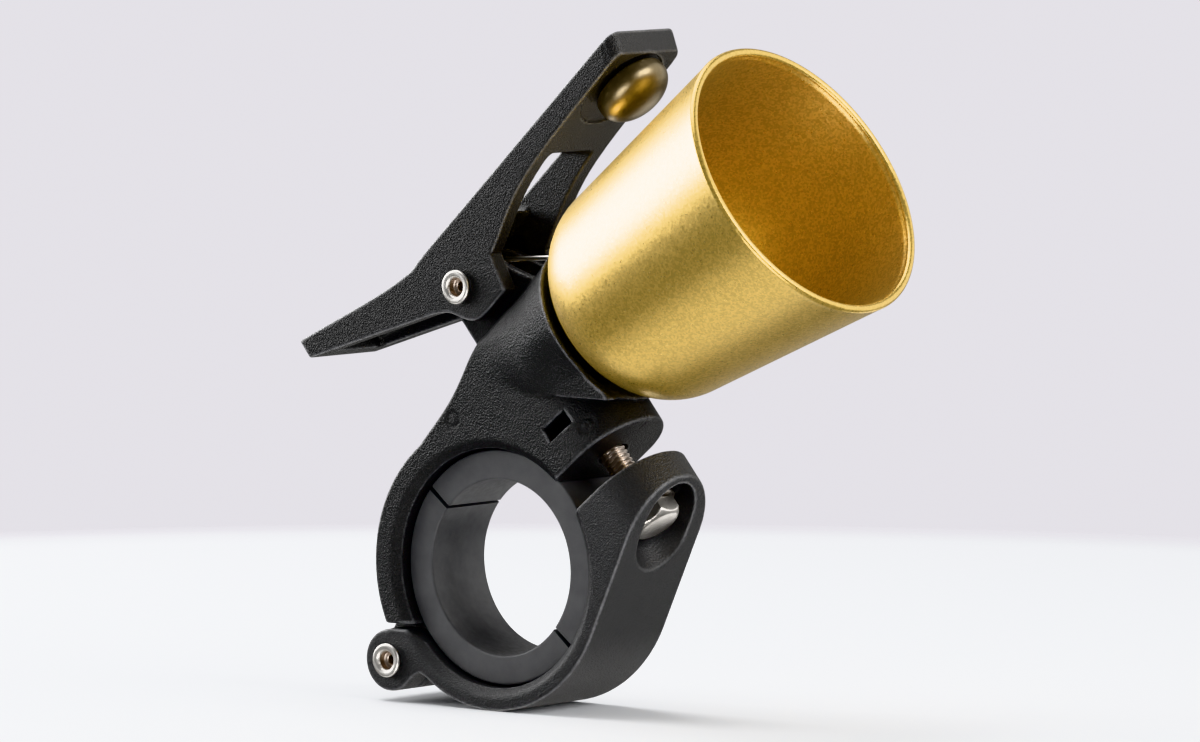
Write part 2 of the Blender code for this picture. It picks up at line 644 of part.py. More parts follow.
def make_rivet(shop, name, place, half_grip, material):
    """A hollow rivet: a tube with a rolled flange outside each end of what it grips."""
    low = half_grip + FIT
    high = low + RIVET_FLANGE_THICKNESS
    roll = RIVET_FLANGE_THICKNESS / 2
    mouth = RIVET_BORE + roll
    top = [(mouth, high), (RIVET_FLANGE_RADIUS - roll, high), (RIVET_FLANGE_RADIUS, high - roll),
           (RIVET_FLANGE_RADIUS - roll, low), (RIVET_RADIUS, low)]
    bottom = [(radius, -height) for radius, height in reversed(top)]
    bore = [(RIVET_BORE, -low), (RIVET_BORE, low)]
    rivet = shop.turned(name, [*top, *bottom, *bore], side_frame(place), SMALL_STEPS)
    return shop.finish(rivet, material)


def cup_outer(height):
    """The cup's outer radius at a height on its straight wall."""
    return BELL_RIM_RADIUS - (BELL_LENGTH - height) * math.tan(BELL_TAPER)


def cup_side(base_round, count):
    """The cup's rounded base from its flat to its wall, at a wall offset set by the round."""
    inset = BELL_BASE_ROUND - base_round
    centre = cup_outer(BELL_BASE_ROUND) - BELL_BASE_ROUND / math.cos(BELL_TAPER)
    angles = np.linspace(-math.pi / 2, -BELL_TAPER, count)
    return [(centre + base_round * math.cos(a), inset + base_round * (1 + math.sin(a))) for a in angles]


def make_bell_cup(shop, material):
    lip = BELL_WALL / 2
    rim_centre = BELL_RIM_RADIUS - lip
    rim = [(rim_centre + lip * math.cos(a), BELL_LENGTH - lip + lip * math.sin(a))
           for a in np.linspace(math.pi, 0.0, 7)]
    hole = SCREW_RADIUS + FIT
    outer = cup_side(BELL_BASE_ROUND, 9)[::-1]
    inner = cup_side(BELL_BASE_ROUND - BELL_WALL, 9)
    profile = [*rim, *outer, (hole, 0.0), (hole, BELL_WALL), *inner]
    return shop.finish(shop.turned("bell_cup", profile, bell_axis_frame(), BELL_STEPS), material)


def make_lock_washer(shop, material):
    """A split ring under the bell screw's head."""
    half = LOCK_WASHER_GAP / 2
    outer = arc((0.0, 0.0), LOCK_WASHER_RADIUS, half, 2 * math.pi - half, SMALL_STEPS)
    inner = arc((0.0, 0.0), SCREW_RADIUS + FIT, 2 * math.pi - half, half, SMALL_STEPS)
    washer = shop.plate("bell_lock_washer", outer + inner, LOCK_WASHER_SEAT,
                        LOCK_WASHER_SEAT + LOCK_WASHER_THICKNESS, bell_axis_frame())
    return shop.finish(washer, material)


def make_bell_screw(shop, material):
    """A round-headed socket screw from inside the cup down into the insert."""
    bell = bell_axis_frame()
    edge = SCREW_HEAD_HEIGHT / 3
    top = SCREW_SEAT + SCREW_HEAD_HEIGHT
    head = SCREW_HEAD_RADIUS
    profile = [(0.0, top), (head - 2 * edge, top), (head - edge / 2, top - edge), (head, SCREW_SEAT + edge),
               (head, SCREW_SEAT), (SCREW_RADIUS, SCREW_SEAT), (SCREW_RADIUS, -SCREW_REACH),
               (0.0, -SCREW_REACH)]
    screw = shop.turned("bell_screw", profile, bell, SMALL_STEPS)
    corner = SCREW_SOCKET_FLATS / 2 / math.cos(math.pi / 6)
    socket = shop.plate("screw_socket", arc((0, 0), corner, 0.0, 2 * math.pi, 7)[:-1],
                        top - SCREW_SOCKET_DEPTH, top + edge, bell, tool=True)
    shop.combine(screw, "DIFFERENCE", socket)
    return shop.finish(screw, material)


def lever_outer():
    """The lever's thumb side, from the tail's tip to the arm's end."""
    return smooth_run([TAIL_TIP_TOP, TAIL_BEND, ARM_BEND, ARM_END_TOP], 8)


def lever_outline():
    """The lever's side view from the pivot: thumb side, arm's end, bell side, hub and tail underside."""
    arm = smooth_run([ARM_END_BELL, ARM_WAIST, ARM_NOTCH], 8)
    hub = smooth_run([HUB_NOSE, HUB_BOTTOM, HUB_REAR, TAIL_UNDER, TAIL_TIP_BELL], 6)
    return lever_outer() + arm + hub


def fork_outline():
    """The space between the lever's cheeks: a slot through the arm, the hub's fork and the tail's hollow."""
    web = offset_run(lever_outer(), LEVER_WEB)
    inner = [p for p in web if p[1] < WEB_END_Z and p[0] > TAIL_TIP_BELL[0] + TAIL_TIP_WALL]
    reach = LEVER_WIDTH
    web_end = (inner[-1][0], WEB_END_Z)
    below = (inner[0][0] + TAIL_TIP_WALL, TAIL_TIP_BELL[1] - reach)
    return [*inner, web_end, (web_end[0] - reach, WEB_END_Z), (web_end[0] - reach, FORK_TOP_Z),
            (HUB_NOSE[0] + reach, FORK_TOP_Z), (HUB_NOSE[0] + reach, below[1]), below]


def arm_frame():
    """Local Z points from the arm's bell side towards the cup at the hammer, local X down the arm."""
    end = np.array(ARM_END_BELL)
    along = np.array(ARM_WAIST) - end
    along /= np.linalg.norm(along)
    x, z = from_pivot(end + along * HAMMER_SETBACK)
    return Matrix(((along[0], 0, -along[1], x), (0, 1, 0, 0), (along[1], 0, along[0], z), (0, 0, 0, 1)))


def washer_seat():
    """The height, in the arm's frame, of the spot face on the thumb side that the hammer's washer sits on."""
    to_arm = arm_frame().inverted()
    places = [to_arm @ Vector((x, 0.0, z)) for x, z in (from_pivot(p) for p in lever_outer())]
    places.sort(key=lambda place: place.x)
    surface = np.interp(0.0, [place.x for place in places], [place.z for place in places])
    return float(surface) + SPOT_FACE_DEPTH


def arm_overhang():
    """How far the arm's thumb-side corner stands past its bell-side corner, along the arm."""
    end = np.array(ARM_END_BELL)
    along = np.array(ARM_WAIST) - end
    along /= np.linalg.norm(along)
    return float((end - np.array(ARM_END_TOP)) @ along)


def make_striker_lever(shop, material):
    side = side_frame(PIVOT)
    arm = arm_frame()
    long_way = 2 * LEVER_WIDTH
    lever = shop.plate("striker_lever", lever_outline(), -LEVER_HALF, LEVER_HALF, side)
    shop.round_edges(lever, EDGE_ROUND, 2)
    corner = LEVER_HALF - LEVER_CORNER
    end = HAMMER_SETBACK + arm_overhang()
    far = 6 * LEVER_WIDTH
    plan = [(far, LEVER_WIDTH), (far, -LEVER_WIDTH), (0.0, -LEVER_WIDTH), (0.0, -LEVER_HALF),
            *arc((LEVER_CORNER - end, -corner), LEVER_CORNER, -math.pi / 2, -math.pi, 7),
            *arc((LEVER_CORNER - end, corner), LEVER_CORNER, math.pi, math.pi / 2, 7),
            (0.0, LEVER_HALF), (0.0, LEVER_WIDTH)]
    round_plan = shop.plate("lever_plan", plan[::-1], -long_way, long_way, arm, tool=True)
    shop.combine(lever, "INTERSECT", round_plan)
    fork = shop.plate("lever_fork", fork_outline(), -FORK_HALF, FORK_HALF, side, tool=True)
    pivot_hole = shop.cylinder("lever_pivot_hole", RIVET_RADIUS + FIT, -long_way, long_way, side,
                               SMALL_STEPS, tool=True)
    shank_hole = shop.cylinder("shank_hole", SHANK_RADIUS + FIT, -long_way, long_way, arm, SMALL_STEPS,
                               tool=True)
    spot_face = shop.cylinder("spot_face", HAMMER_WASHER_RADIUS + FIT, -long_way, washer_seat(), arm,
                              SMALL_STEPS, tool=True)
    shop.combine(shank_hole, "UNION", spot_face)
    hook_hole = shop.cylinder("hook_hole", WIRE_RADIUS + FIT, 0.0, FORK_HALF + SPRING_HOOK,
                              side_frame(spring_hook_place()), SMALL_STEPS // 2, tool=True)
    shop.combine(lever, "DIFFERENCE", fork, pivot_hole, shank_hole, hook_hole)
    return shop.finish(lever, material)


def make_hammer(shop, material):
    """A domed brass hammer whose shank passes through the arm and is clinched over a washer."""
    low = FIT
    top = low + HAMMER_HEIGHT
    edge = low + HAMMER_EDGE
    dome = [(0.0, top)]
    for a in np.linspace(math.pi / 2, 0.0, 9)[1:]:
        dome.append((HAMMER_RADIUS * math.cos(a), edge + (top - edge) * math.sin(a)))
    clinch_low = washer_seat() - 2 * FIT - HAMMER_WASHER_THICKNESS
    clinch_end = clinch_low - HAMMER_CLINCH_HEIGHT
    profile = [*dome, (HAMMER_RADIUS, low), (SHANK_RADIUS, low), (SHANK_RADIUS, clinch_low),
               (HAMMER_CLINCH_RADIUS, clinch_low), (SHANK_RADIUS, clinch_end), (0.0, clinch_end)]
    return shop.finish(shop.turned("hammer", profile, arm_frame(), ROUND_STEPS), material)


def spring_hook_place():
    """Where the spring's short leg, which falls away from the coil, turns sideways into the front cheek."""
    c, s = math.cos(SPRING_HOOK_FALL), math.sin(SPRING_HOOK_FALL)
    return from_pivot((-COIL_RADIUS * s - SPRING_SHORT_LEG * c, COIL_RADIUS * c - SPRING_SHORT_LEG * s))


def spring_path():
    """The wire's centre line: hook in the cheek, short leg, curls round the sleeve, long leg to the seat.

    The curls turn clockwise seen from the front and advance by the pitch a turn, from front to back.
    """
    hook_x, hook_z = spring_hook_place()
    bend = 2 * WIRE_RADIUS
    bend_x, bend_z = bend * math.cos(SPRING_HOOK_FALL), bend * math.sin(SPRING_HOOK_FALL)
    hook = [(hook_x, -FORK_HALF - SPRING_HOOK + FIT, hook_z), (hook_x, -COIL_HALF - bend, hook_z),
            (hook_x + bend_x, -COIL_HALF, hook_z + bend_z)]
    count = int(round(SPRING_SWEEP / (2 * math.pi) * CURL_POINTS)) + 1
    curls = []
    for share in np.linspace(0.0, 1.0, count):
        angle = math.pi / 2 + SPRING_HOOK_FALL - share * SPRING_SWEEP
        curls.append((PIVOT_X + COIL_RADIUS * math.cos(angle), COIL_HALF * (2 * share - 1),
                      PIVOT_Z + COIL_RADIUS * math.sin(angle)))
    x, _, z = curls[-1]
    run = SPRING_LONG_LEG * math.cos(SPRING_LEG_RISE)
    rise = SPRING_LONG_LEG * math.sin(SPRING_LEG_RISE)
    leg = [(x + run * share, COIL_HALF, z + rise * share) for share in (0.5, 1.0)]
    return np.array(hook + curls + leg)


def least_self_gap(path, radius):
    """The least gap between two stretches of a round wire that are more than half a curl apart."""
    steps = np.linspace(0.0, 1.0, 12, endpoint=False)
    dense = np.concatenate([a + (b - a) * steps[:, None] for a, b in zip(path[:-1], path[1:])] + [path[-1:]])
    lengths = np.concatenate(([0.0], np.cumsum(np.linalg.norm(np.diff(dense, axis=0), axis=1))))
    apart = np.linalg.norm(dense[:, None] - dense[None], axis=2)
    along = np.abs(lengths[:, None] - lengths[None])
    return float(apart[along > math.pi * COIL_RADIUS].min() - 2 * radius)


def make_return_spring(shop, material):
    path = spring_path()
    print("return_spring least gap to itself (mm):", round(1000 * least_self_gap(path, WIRE_RADIUS), 3))
    curve = bpy.data.curves.new("return_spring", "CURVE")
    curve.dimensions = "3D"
    curve.bevel_depth = WIRE_RADIUS
    curve.bevel_resolution = 1
    curve.use_fill_caps = True
    spline = curve.splines.new("POLY")
    spline.points.add(len(path) - 1)
    for point, place in zip(spline.points, path):
        point.co = (*place, 1.0)
    wire = bpy.data.objects.new("return_spring_wire", curve)
    shop.tools.objects.link(wire)
    mesh = shop.to_mesh(wire)
    mesh.name = "return_spring"
    return shop.finish(shop.link("return_spring", mesh, Matrix.Identity(4)), material)


def main():
    clear_scene()
    shop = Workshop()
    gold = make_material("gold_paint", (0.72, 0.50, 0.13), 0.35, 0.9)
    black = make_material("black_nylon", (0.02, 0.02, 0.021), 0.55, 0.0)
    grey = make_material("grey_nylon", (0.055, 0.055, 0.057), 0.5, 0.0)
    rubber = make_material("black_rubber", (0.012, 0.012, 0.012), 0.8, 0.0)
    steel = make_material("zinc_steel", (0.72, 0.70, 0.66), 0.3, 1.0)
    nickel = make_material("nickel_plate", (0.80, 0.79, 0.77), 0.22, 1.0)
    brass = make_material("polished_brass", (0.80, 0.60, 0.28), 0.15, 1.0)

    bell = bell_axis_frame()
    bolt = bolt_frame()
    make_base_body(shop, black)
    make_shims(shop, grey)
    make_clamp_nut(shop, steel)
    make_bell_cup(shop, gold)
    ring(shop, "bell_damping_washer", SCREW_RADIUS + FIT, DAMPER_RADIUS, FIT - SEAT_DEPTH, -FIT, bell, rubber)
    ring(shop, "bell_inner_washer", SCREW_RADIUS + FIT, INNER_WASHER_RADIUS, INNER_BASE,
         INNER_BASE + INNER_WASHER_THICKNESS, bell, steel)
    ring(shop, "bell_insert", SCREW_RADIUS + FIT, INSERT_RADIUS, -SEAT_DEPTH - FIT - INSERT_LENGTH,
         -SEAT_DEPTH - FIT, bell, brass, SMALL_STEPS)
    make_lock_washer(shop, steel)
    make_bell_screw(shop, steel)
    make_return_spring(shop, steel)

    strap = make_clamp_strap(shop, black)
    hinge_rivet = make_rivet(shop, "hinge_rivet", HINGE, CLAMP_HALF, nickel)
    clamp_bolt = make_clamp_bolt(shop, steel)
    washer = ring(shop, "clamp_bolt_washer", BOLT_RADIUS + FIT, BOLT_WASHER_RADIUS,
                  WASHER_TOP - BOLT_WASHER_THICKNESS, WASHER_TOP, bolt, steel)
    lever = make_striker_lever(shop, black)
    pivot_rivet = make_rivet(shop, "lever_pivot_rivet", PIVOT, LEVER_HALF, nickel)
    sleeve = ring(shop, "pivot_sleeve", SLEEVE_BORE, SLEEVE_RADIUS, FIT - FORK_HALF, FORK_HALF - FIT,
                  side_frame(PIVOT), steel, SMALL_STEPS)
    hammer = make_hammer(shop, brass)
    back = washer_seat() - FIT
    hammer_washer = ring(shop, "hammer_washer", SHANK_RADIUS + FIT, HAMMER_WASHER_RADIUS,
                         back - HAMMER_WASHER_THICKNESS, back, arm_frame(), steel, SMALL_STEPS)

    bolt_place = on_bolt(BOLT_REACH, 0.0)
    shop.axis("strap_hinge_axis", (HINGE[0], 0.0, HINGE[1]), [strap, hinge_rivet])
    shop.axis("clamp_bolt_axis", (bolt_place[0], 0.0, bolt_place[1]), [clamp_bolt, washer])
    lever_pieces = [lever, pivot_rivet, sleeve, hammer, hammer_washer]
    shop.axis("lever_pivot_axis", (PIVOT_X, 0.0, PIVOT_Z), lever_pieces)


main()
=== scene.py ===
"""Bicycle bell: finished pieces, materials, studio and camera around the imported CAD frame.

Shapes are worked out in millimetres in the CAD frame and put into meshes in metres.
"""

import itertools
import math

import bmesh
import bpy
import numpy as np
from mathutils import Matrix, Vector
from mathutils.geometry import convex_hull_2d


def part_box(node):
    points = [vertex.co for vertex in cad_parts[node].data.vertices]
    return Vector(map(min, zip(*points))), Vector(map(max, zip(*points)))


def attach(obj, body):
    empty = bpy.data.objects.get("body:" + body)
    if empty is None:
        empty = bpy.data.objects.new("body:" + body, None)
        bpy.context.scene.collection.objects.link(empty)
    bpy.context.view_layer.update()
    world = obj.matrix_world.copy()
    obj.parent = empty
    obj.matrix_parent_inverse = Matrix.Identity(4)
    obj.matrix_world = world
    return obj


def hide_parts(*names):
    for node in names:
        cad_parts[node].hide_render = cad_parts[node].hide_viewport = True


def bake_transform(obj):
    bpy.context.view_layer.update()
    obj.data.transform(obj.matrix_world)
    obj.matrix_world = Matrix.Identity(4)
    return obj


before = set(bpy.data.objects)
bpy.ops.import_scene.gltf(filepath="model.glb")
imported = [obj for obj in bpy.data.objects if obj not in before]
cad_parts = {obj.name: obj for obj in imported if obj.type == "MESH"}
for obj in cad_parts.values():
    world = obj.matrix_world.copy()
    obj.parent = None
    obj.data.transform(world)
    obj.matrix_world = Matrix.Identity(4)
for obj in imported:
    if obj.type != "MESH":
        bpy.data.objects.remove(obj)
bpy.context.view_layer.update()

MM = 0.001
TURN = 2 * math.pi

# Sizes of the pieces in millimetres, the main ones as in the CAD source
FIT = 0.3
BAR_RADIUS = 12.7
SHIM_RADIUS = 16.9
SHIM_HALF = 6.0
SHIM_SPLIT = math.radians(140.5)
SHIM_GAP = 0.6
LINER_EDGE = 0.3
LINER_CREASE = math.radians(40)
SEAT_RADIUS = 17.2
CLAMP_HALF = 8.5
LEAD_IN = 1.1
ARCH_RADIUS = 21.5
STRAP_RADIUS = 20.4
STRAP_FACE = math.radians(65.6)
STRAP_START = math.radians(221.0)
HINGE = np.array((-18.698, -14.400))
KNUCKLE_RADIUS = 4.5
CENTRE_HALF = 4.3
ARCH_END_Z = -9.1

EAR_TILT = math.radians(39.7)
BOLT_REACH = 22.9
BODY_EAR = 2.75
EAR_TOP = 9.75
STRAP_EAR = -2.75
COUNTERBORE_FLOOR = -5.85
COUNTERBORE_RADIUS = 5.2
SLOT_STRETCH = 2.0
BOLT_RADIUS = 2.0
BOLT_SEAT = -7.25
BOLT_TIP = 12.75
HEAD_FLATS = 7.0
HEAD_HEIGHT = 2.8
HEAD_CREASE = math.radians(32)
THREAD_PITCH = 0.7
THREAD_DEPTH = 0.32
THREAD_START = 1.0
THREAD_FULL = 2.0
THREAD_EASE = 0.02
BOLT_WASHER_RADIUS = 4.5
BOLT_WASHER_LOW = -6.95
BOLT_WASHER_HIGH = -6.15
NUT_HALF = 3.5
NUT_BOTTOM = 7.35
NUT_TOP = 9.55
NUT_CORNER = 1.36
NUT_CHAMFER = 0.95
NUT_EDGE = 0.2
NUT_MOUTH = 0.35
NUT_MOUTH_DEPTH = 0.3
WINDOW_HALF = 2.25

BELL_TILT = math.radians(31.6)
BELL_BASE = np.array((14.0, 35.1))
BELL_LENGTH = 42.6
BELL_RIM = 21.26
BELL_TAPER = math.radians(7.8)
BELL_ROUND = 11.7
BELL_WALL = 1.3
RIM_ROUND = 0.62
DAMPER_RADIUS = 7.0
SEAT_DEPTH = 2.0
FLANGE_RADIUS = 12.6
FLANGE_RISE = 0.7
SCREW_RADIUS = 2.5
SCREW_REACH = 8.5
SCREW_SEAT = 4.2
SCREW_HEAD_RADIUS = 4.5
SCREW_HEAD_HEIGHT = 2.8
SOCKET_FLATS = 3.0
SOCKET_DEPTH = 1.8
SCREW_DOME_IN = 1.9
SCREW_BRIM = 0.6
SCREW_POINT = 0.5
SCREW_LEAD = 0.1
SCREW_EDGE = 0.15
SOCKET_EASE = 1.06
INSERT_RADIUS = 3.8
INSERT_LOW = -8.5
INSERT_HIGH = -2.0
DAMPER_LOW = -1.7
DAMPER_HIGH = -0.3
DAMPER_EDGE = 0.3
CUP_WASHER_RADIUS = 5.2
CUP_WASHER_LOW = 1.6
CUP_WASHER_HIGH = 2.6
LOCK_RADIUS = 4.2
LOCK_LOW = 2.9
LOCK_THICK = 1.0
LOCK_HALF_GAP = math.radians(8.0)
RING_EDGE = 0.12

PIVOT = np.array((-6.4, 40.05))
LUG_RADIUS = 4.9
LUG_INNER = 2.8
LUG_OUTER = 4.6
SHOULDER = PIVOT + (3.8, -7.35)
NECK_ANGLE = math.radians(127.8)
NECK_BOW = 0.9
NECK_RADIUS = 8.4
RIVET_RADIUS = 1.7
RIVET_BORE = 1.3
RIVET_FLANGE = 2.45
RIVET_FLANGE_THICK = 0.7
SLEEVE_BORE = 2.0
SLEEVE_RADIUS = 2.6

LEVER_HALF = 7.6
FORK_HALF = 4.9
LEVER_WEB = 2.0
LEVER_CORNER = 2.1
TAIL_TIP_TOP = (-30.0, -9.25)
TAIL_BEND = (-11.6, 0.15)
ARM_BEND = (-4.0, 6.95)
ARM_END_TOP = (27.8, 37.55)
ARM_END_BELL = (29.0, 34.25)
ARM_WAIST = (12.6, 16.85)
ARM_NOTCH = (5.9, 4.95)
HUB_NOSE = (8.6, 0.0)
HUB_BOTTOM = (3.0, -4.65)
HUB_REAR = (-3.0, -3.9)
TAIL_UNDER = (-10.9, -6.15)
TAIL_TIP_BELL = (-28.1, -11.65)
TAIL_TIP_WALL = 2.2
FORK_TOP_Z = 19.5
WEB_END_Z = 10.4

HAMMER_SETBACK = 6.2
HAMMER_RADIUS = 5.6
HAMMER_HEIGHT = 4.4
HAMMER_EDGE = 1.2
SHANK_RADIUS = 1.7
HAMMER_WASHER_RADIUS = 3.2
HAMMER_WASHER_THICK = 0.6
SPOT_DEPTH = 0.4
CLINCH_RADIUS = 2.4
CLINCH_HEIGHT = 0.8

WIRE_RADIUS = 0.4
COIL_RADIUS = 3.36
COIL_TURNS = 3
SPRING_PITCH = 1.25
LONG_LEG = 14.2
LEG_RISE = math.radians(4.0)
HOOK_FALL = math.radians(30.0)
SHORT_LEG = 5.8
HOOK = 2.0
COIL_SWEEP = TURN * COIL_TURNS + HOOK_FALL - LEG_RISE
COIL_HALF = COIL_SWEEP / TURN * SPRING_PITCH / 2


class Frame:
    """A place with three axes: local Z along a slanted line in the XZ plane, local Y along the bar."""

    def __init__(self, origin, along):
        unit = np.asarray(along, float) / np.hypot(*along)
        self.origin = np.array((origin[0], 0.0, origin[1]))
        self.z = np.array((unit[0], 0.0, unit[1]))
        self.y = np.array((0.0, 1.0, 0.0))
        self.x = np.cross(self.y, self.z)

    def world(self, points):
        """Local points to the CAD frame: the origin plus each local coordinate times its axis."""
        return self.origin + points @ np.stack((self.x, self.y, self.z))

    def local(self, x, z):
        """Distances along local X and local Z of places in the XZ plane."""
        dx, dz = x - self.origin[0], z - self.origin[2]
        return dx * self.x[0] + dz * self.x[2], dx * self.z[0] + dz * self.z[2]


BELL = Frame(BELL_BASE, (math.cos(BELL_TILT), math.sin(BELL_TILT)))
BOLT = Frame(BOLT_REACH * np.array((math.cos(EAR_TILT), math.sin(EAR_TILT))),
             (-math.sin(EAR_TILT), math.cos(EAR_TILT)))
ARM_ALONG = (np.array(ARM_WAIST) - ARM_END_BELL) / np.hypot(*(np.array(ARM_WAIST) - ARM_END_BELL))
ARM = Frame(PIVOT + ARM_END_BELL + ARM_ALONG * HAMMER_SETBACK, (-ARM_ALONG[1], ARM_ALONG[0]))


class Across(Frame):
    """A frame through a place in the XZ plane whose local Z runs along the bar, out of the front."""

    def __init__(self, place):
        self.origin = np.array((place[0], 0.0, place[1]))
        self.x = np.array((1.0, 0.0, 0.0))
        self.y = np.array((0.0, 0.0, 1.0))
        self.z = np.array((0.0, -1.0, 0.0))


def on_bell(along, across):
    """The XZ place at a distance along the cup's axis and upwards across it."""
    c, s = math.cos(BELL_TILT), math.sin(BELL_TILT)
    return BELL_BASE + np.array((along * c - across * s, along * s + across * c))


def on_bolt(out, up):
    """The XZ place at a distance out from the handlebar's centre and up the bolt."""
    c, s = math.cos(EAR_TILT), math.sin(EAR_TILT)
    return np.array((out * c - up * s, out * s + up * c))


def arc(centre, radius, start, end, count):
    """Points on a circle between two angles."""
    angle = np.linspace(start, end, count)
    return np.stack((centre[0] + radius * np.cos(angle), centre[1] + radius * np.sin(angle)), axis=1)


def smooth_run(points, steps):
    """A Catmull-Rom curve: between each two points the cubic through them with its neighbours' slopes."""
    p = np.array(points, float)
    p = np.vstack((2 * p[0] - p[1], p, 2 * p[-1] - p[-2]))
    a, b, c, d = (q[:, None] for q in (p[:-3], p[1:-2], p[2:-1], p[3:]))
    t = (np.arange(steps) / steps)[None, :, None]
    run = 0.5 * (2 * b + (c - a) * t + (2 * a - 5 * b + 4 * c - d) * t**2 + (3 * b - a - 3 * c + d) * t**3)
    return np.vstack((run.reshape(-1, 2), p[-2]))


def offset_run(points, distance):
    """The run moved sideways by the distance, to the right of its direction."""
    tangent = np.gradient(points, axis=0)
    tangent /= np.linalg.norm(tangent, axis=1)[:, None]
    return points + distance * np.stack((tangent[:, 1], -tangent[:, 0]), axis=1)


def hull(*groups):
    """The points of some groups that lie on the convex outline round them all, in order."""
    points = np.vstack(groups)
    return points[convex_hull_2d([Vector(p) for p in points])]


def ramp(x, low, high):
    """A smooth step: zero below low, one above high, and 3t2 - 2t3 between."""
    t = np.clip((x - low) / (high - low), 0.0, 1.0)
    return t * t * (3 - 2 * t)


class Outline:
    """Signed distance to a closed outline in a plane, negative inside.

    It is worked out once on a fine table, as the least distance to any side with the sign from the count
    of sides crossed, and read back by linear interpolation.
    """

    def __init__(self, points, margin=4.0, step=0.12):
        p = np.asarray(points, float)
        self.low = p.min(0) - margin
        self.step = step
        shape = np.ceil((p.max(0) + margin - self.low) / step).astype(int) + 1
        u = self.low[0] + step * np.arange(shape[0])[:, None]
        w = self.low[1] + step * np.arange(shape[1])[None, :]
        least = np.full(shape, np.inf)
        inside = np.zeros(shape, bool)
        for a, b in zip(p, np.roll(p, -1, axis=0)):
            side = b - a
            du, dw = u - a[0], w - a[1]
            t = np.clip((du * side[0] + dw * side[1]) / max(side @ side, 1e-12), 0.0, 1.0)
            least = np.minimum(least, (du - t * side[0])**2 + (dw - t * side[1])**2)
            if side[1] != 0.0:
                inside ^= ((a[1] > w) != (b[1] > w)) & (du < dw / side[1] * side[0])
        self.table = np.where(inside, -1.0, 1.0) * np.sqrt(least)

    def __call__(self, u, w):
        """The distance at a place: the table's four values round it, each weighted by its nearness."""
        u = np.clip((u - self.low[0]) / self.step, 0.0, self.table.shape[0] - 1.001)
        w = np.clip((w - self.low[1]) / self.step, 0.0, self.table.shape[1] - 1.001)
        i, j = u.astype(int), w.astype(int)
        u, w = u - i, w - j
        t = self.table
        near = t[i, j] * (1 - u) + t[i + 1, j] * u
        far = t[i, j + 1] * (1 - u) + t[i + 1, j + 1] * u
        return near * (1 - w) + far * w


def mirrored(profile):
    """A profile of radius and height closed through its mirror image across the axis."""
    profile = np.asarray(profile, float)
    return np.vstack((profile, profile[::-1] * (-1.0, 1.0)))


def raised(side, depth, half, edge):
    """A side view given a thickness, with edges of the given radius: the rounded meet of two distances."""
    a = side + edge
    b = depth - half + edge
    return np.minimum(np.maximum(a, b), 0.0) + np.hypot(np.maximum(a, 0.0), np.maximum(b, 0.0)) - edge


def join(a, b, blend):
    """Union of two distance fields with a fillet: the least of them, less a parabola where they meet."""
    h = np.maximum(blend - np.abs(a - b), 0.0)
    return np.minimum(a, b) - h * h / (4 * blend)


def meet(a, b, blend):
    """What two fields share, with a rounded edge."""
    return -join(-a, -b, blend)


def cut(a, b, blend):
    """The first field without the second, with a rounded edge."""
    return meet(a, -b, blend)


EDGE_REACH = 0.26
EDGE_BEND = (0.04, 0.08)
SLIDES = 3
LONGEST_SLIDE = 0.6


def slope(field, points, reach=0.07):
    """A field's gradient and value from its samples at the four corners of a small tetrahedron."""
    corners = reach * np.array(((1, -1, -1), (-1, -1, 1), (-1, 1, -1), (1, 1, 1)))
    samples = np.stack([field(*(points + corner).T) for corner in corners], axis=1)
    return samples @ corners / (4 * reach**2), samples.mean(axis=1)


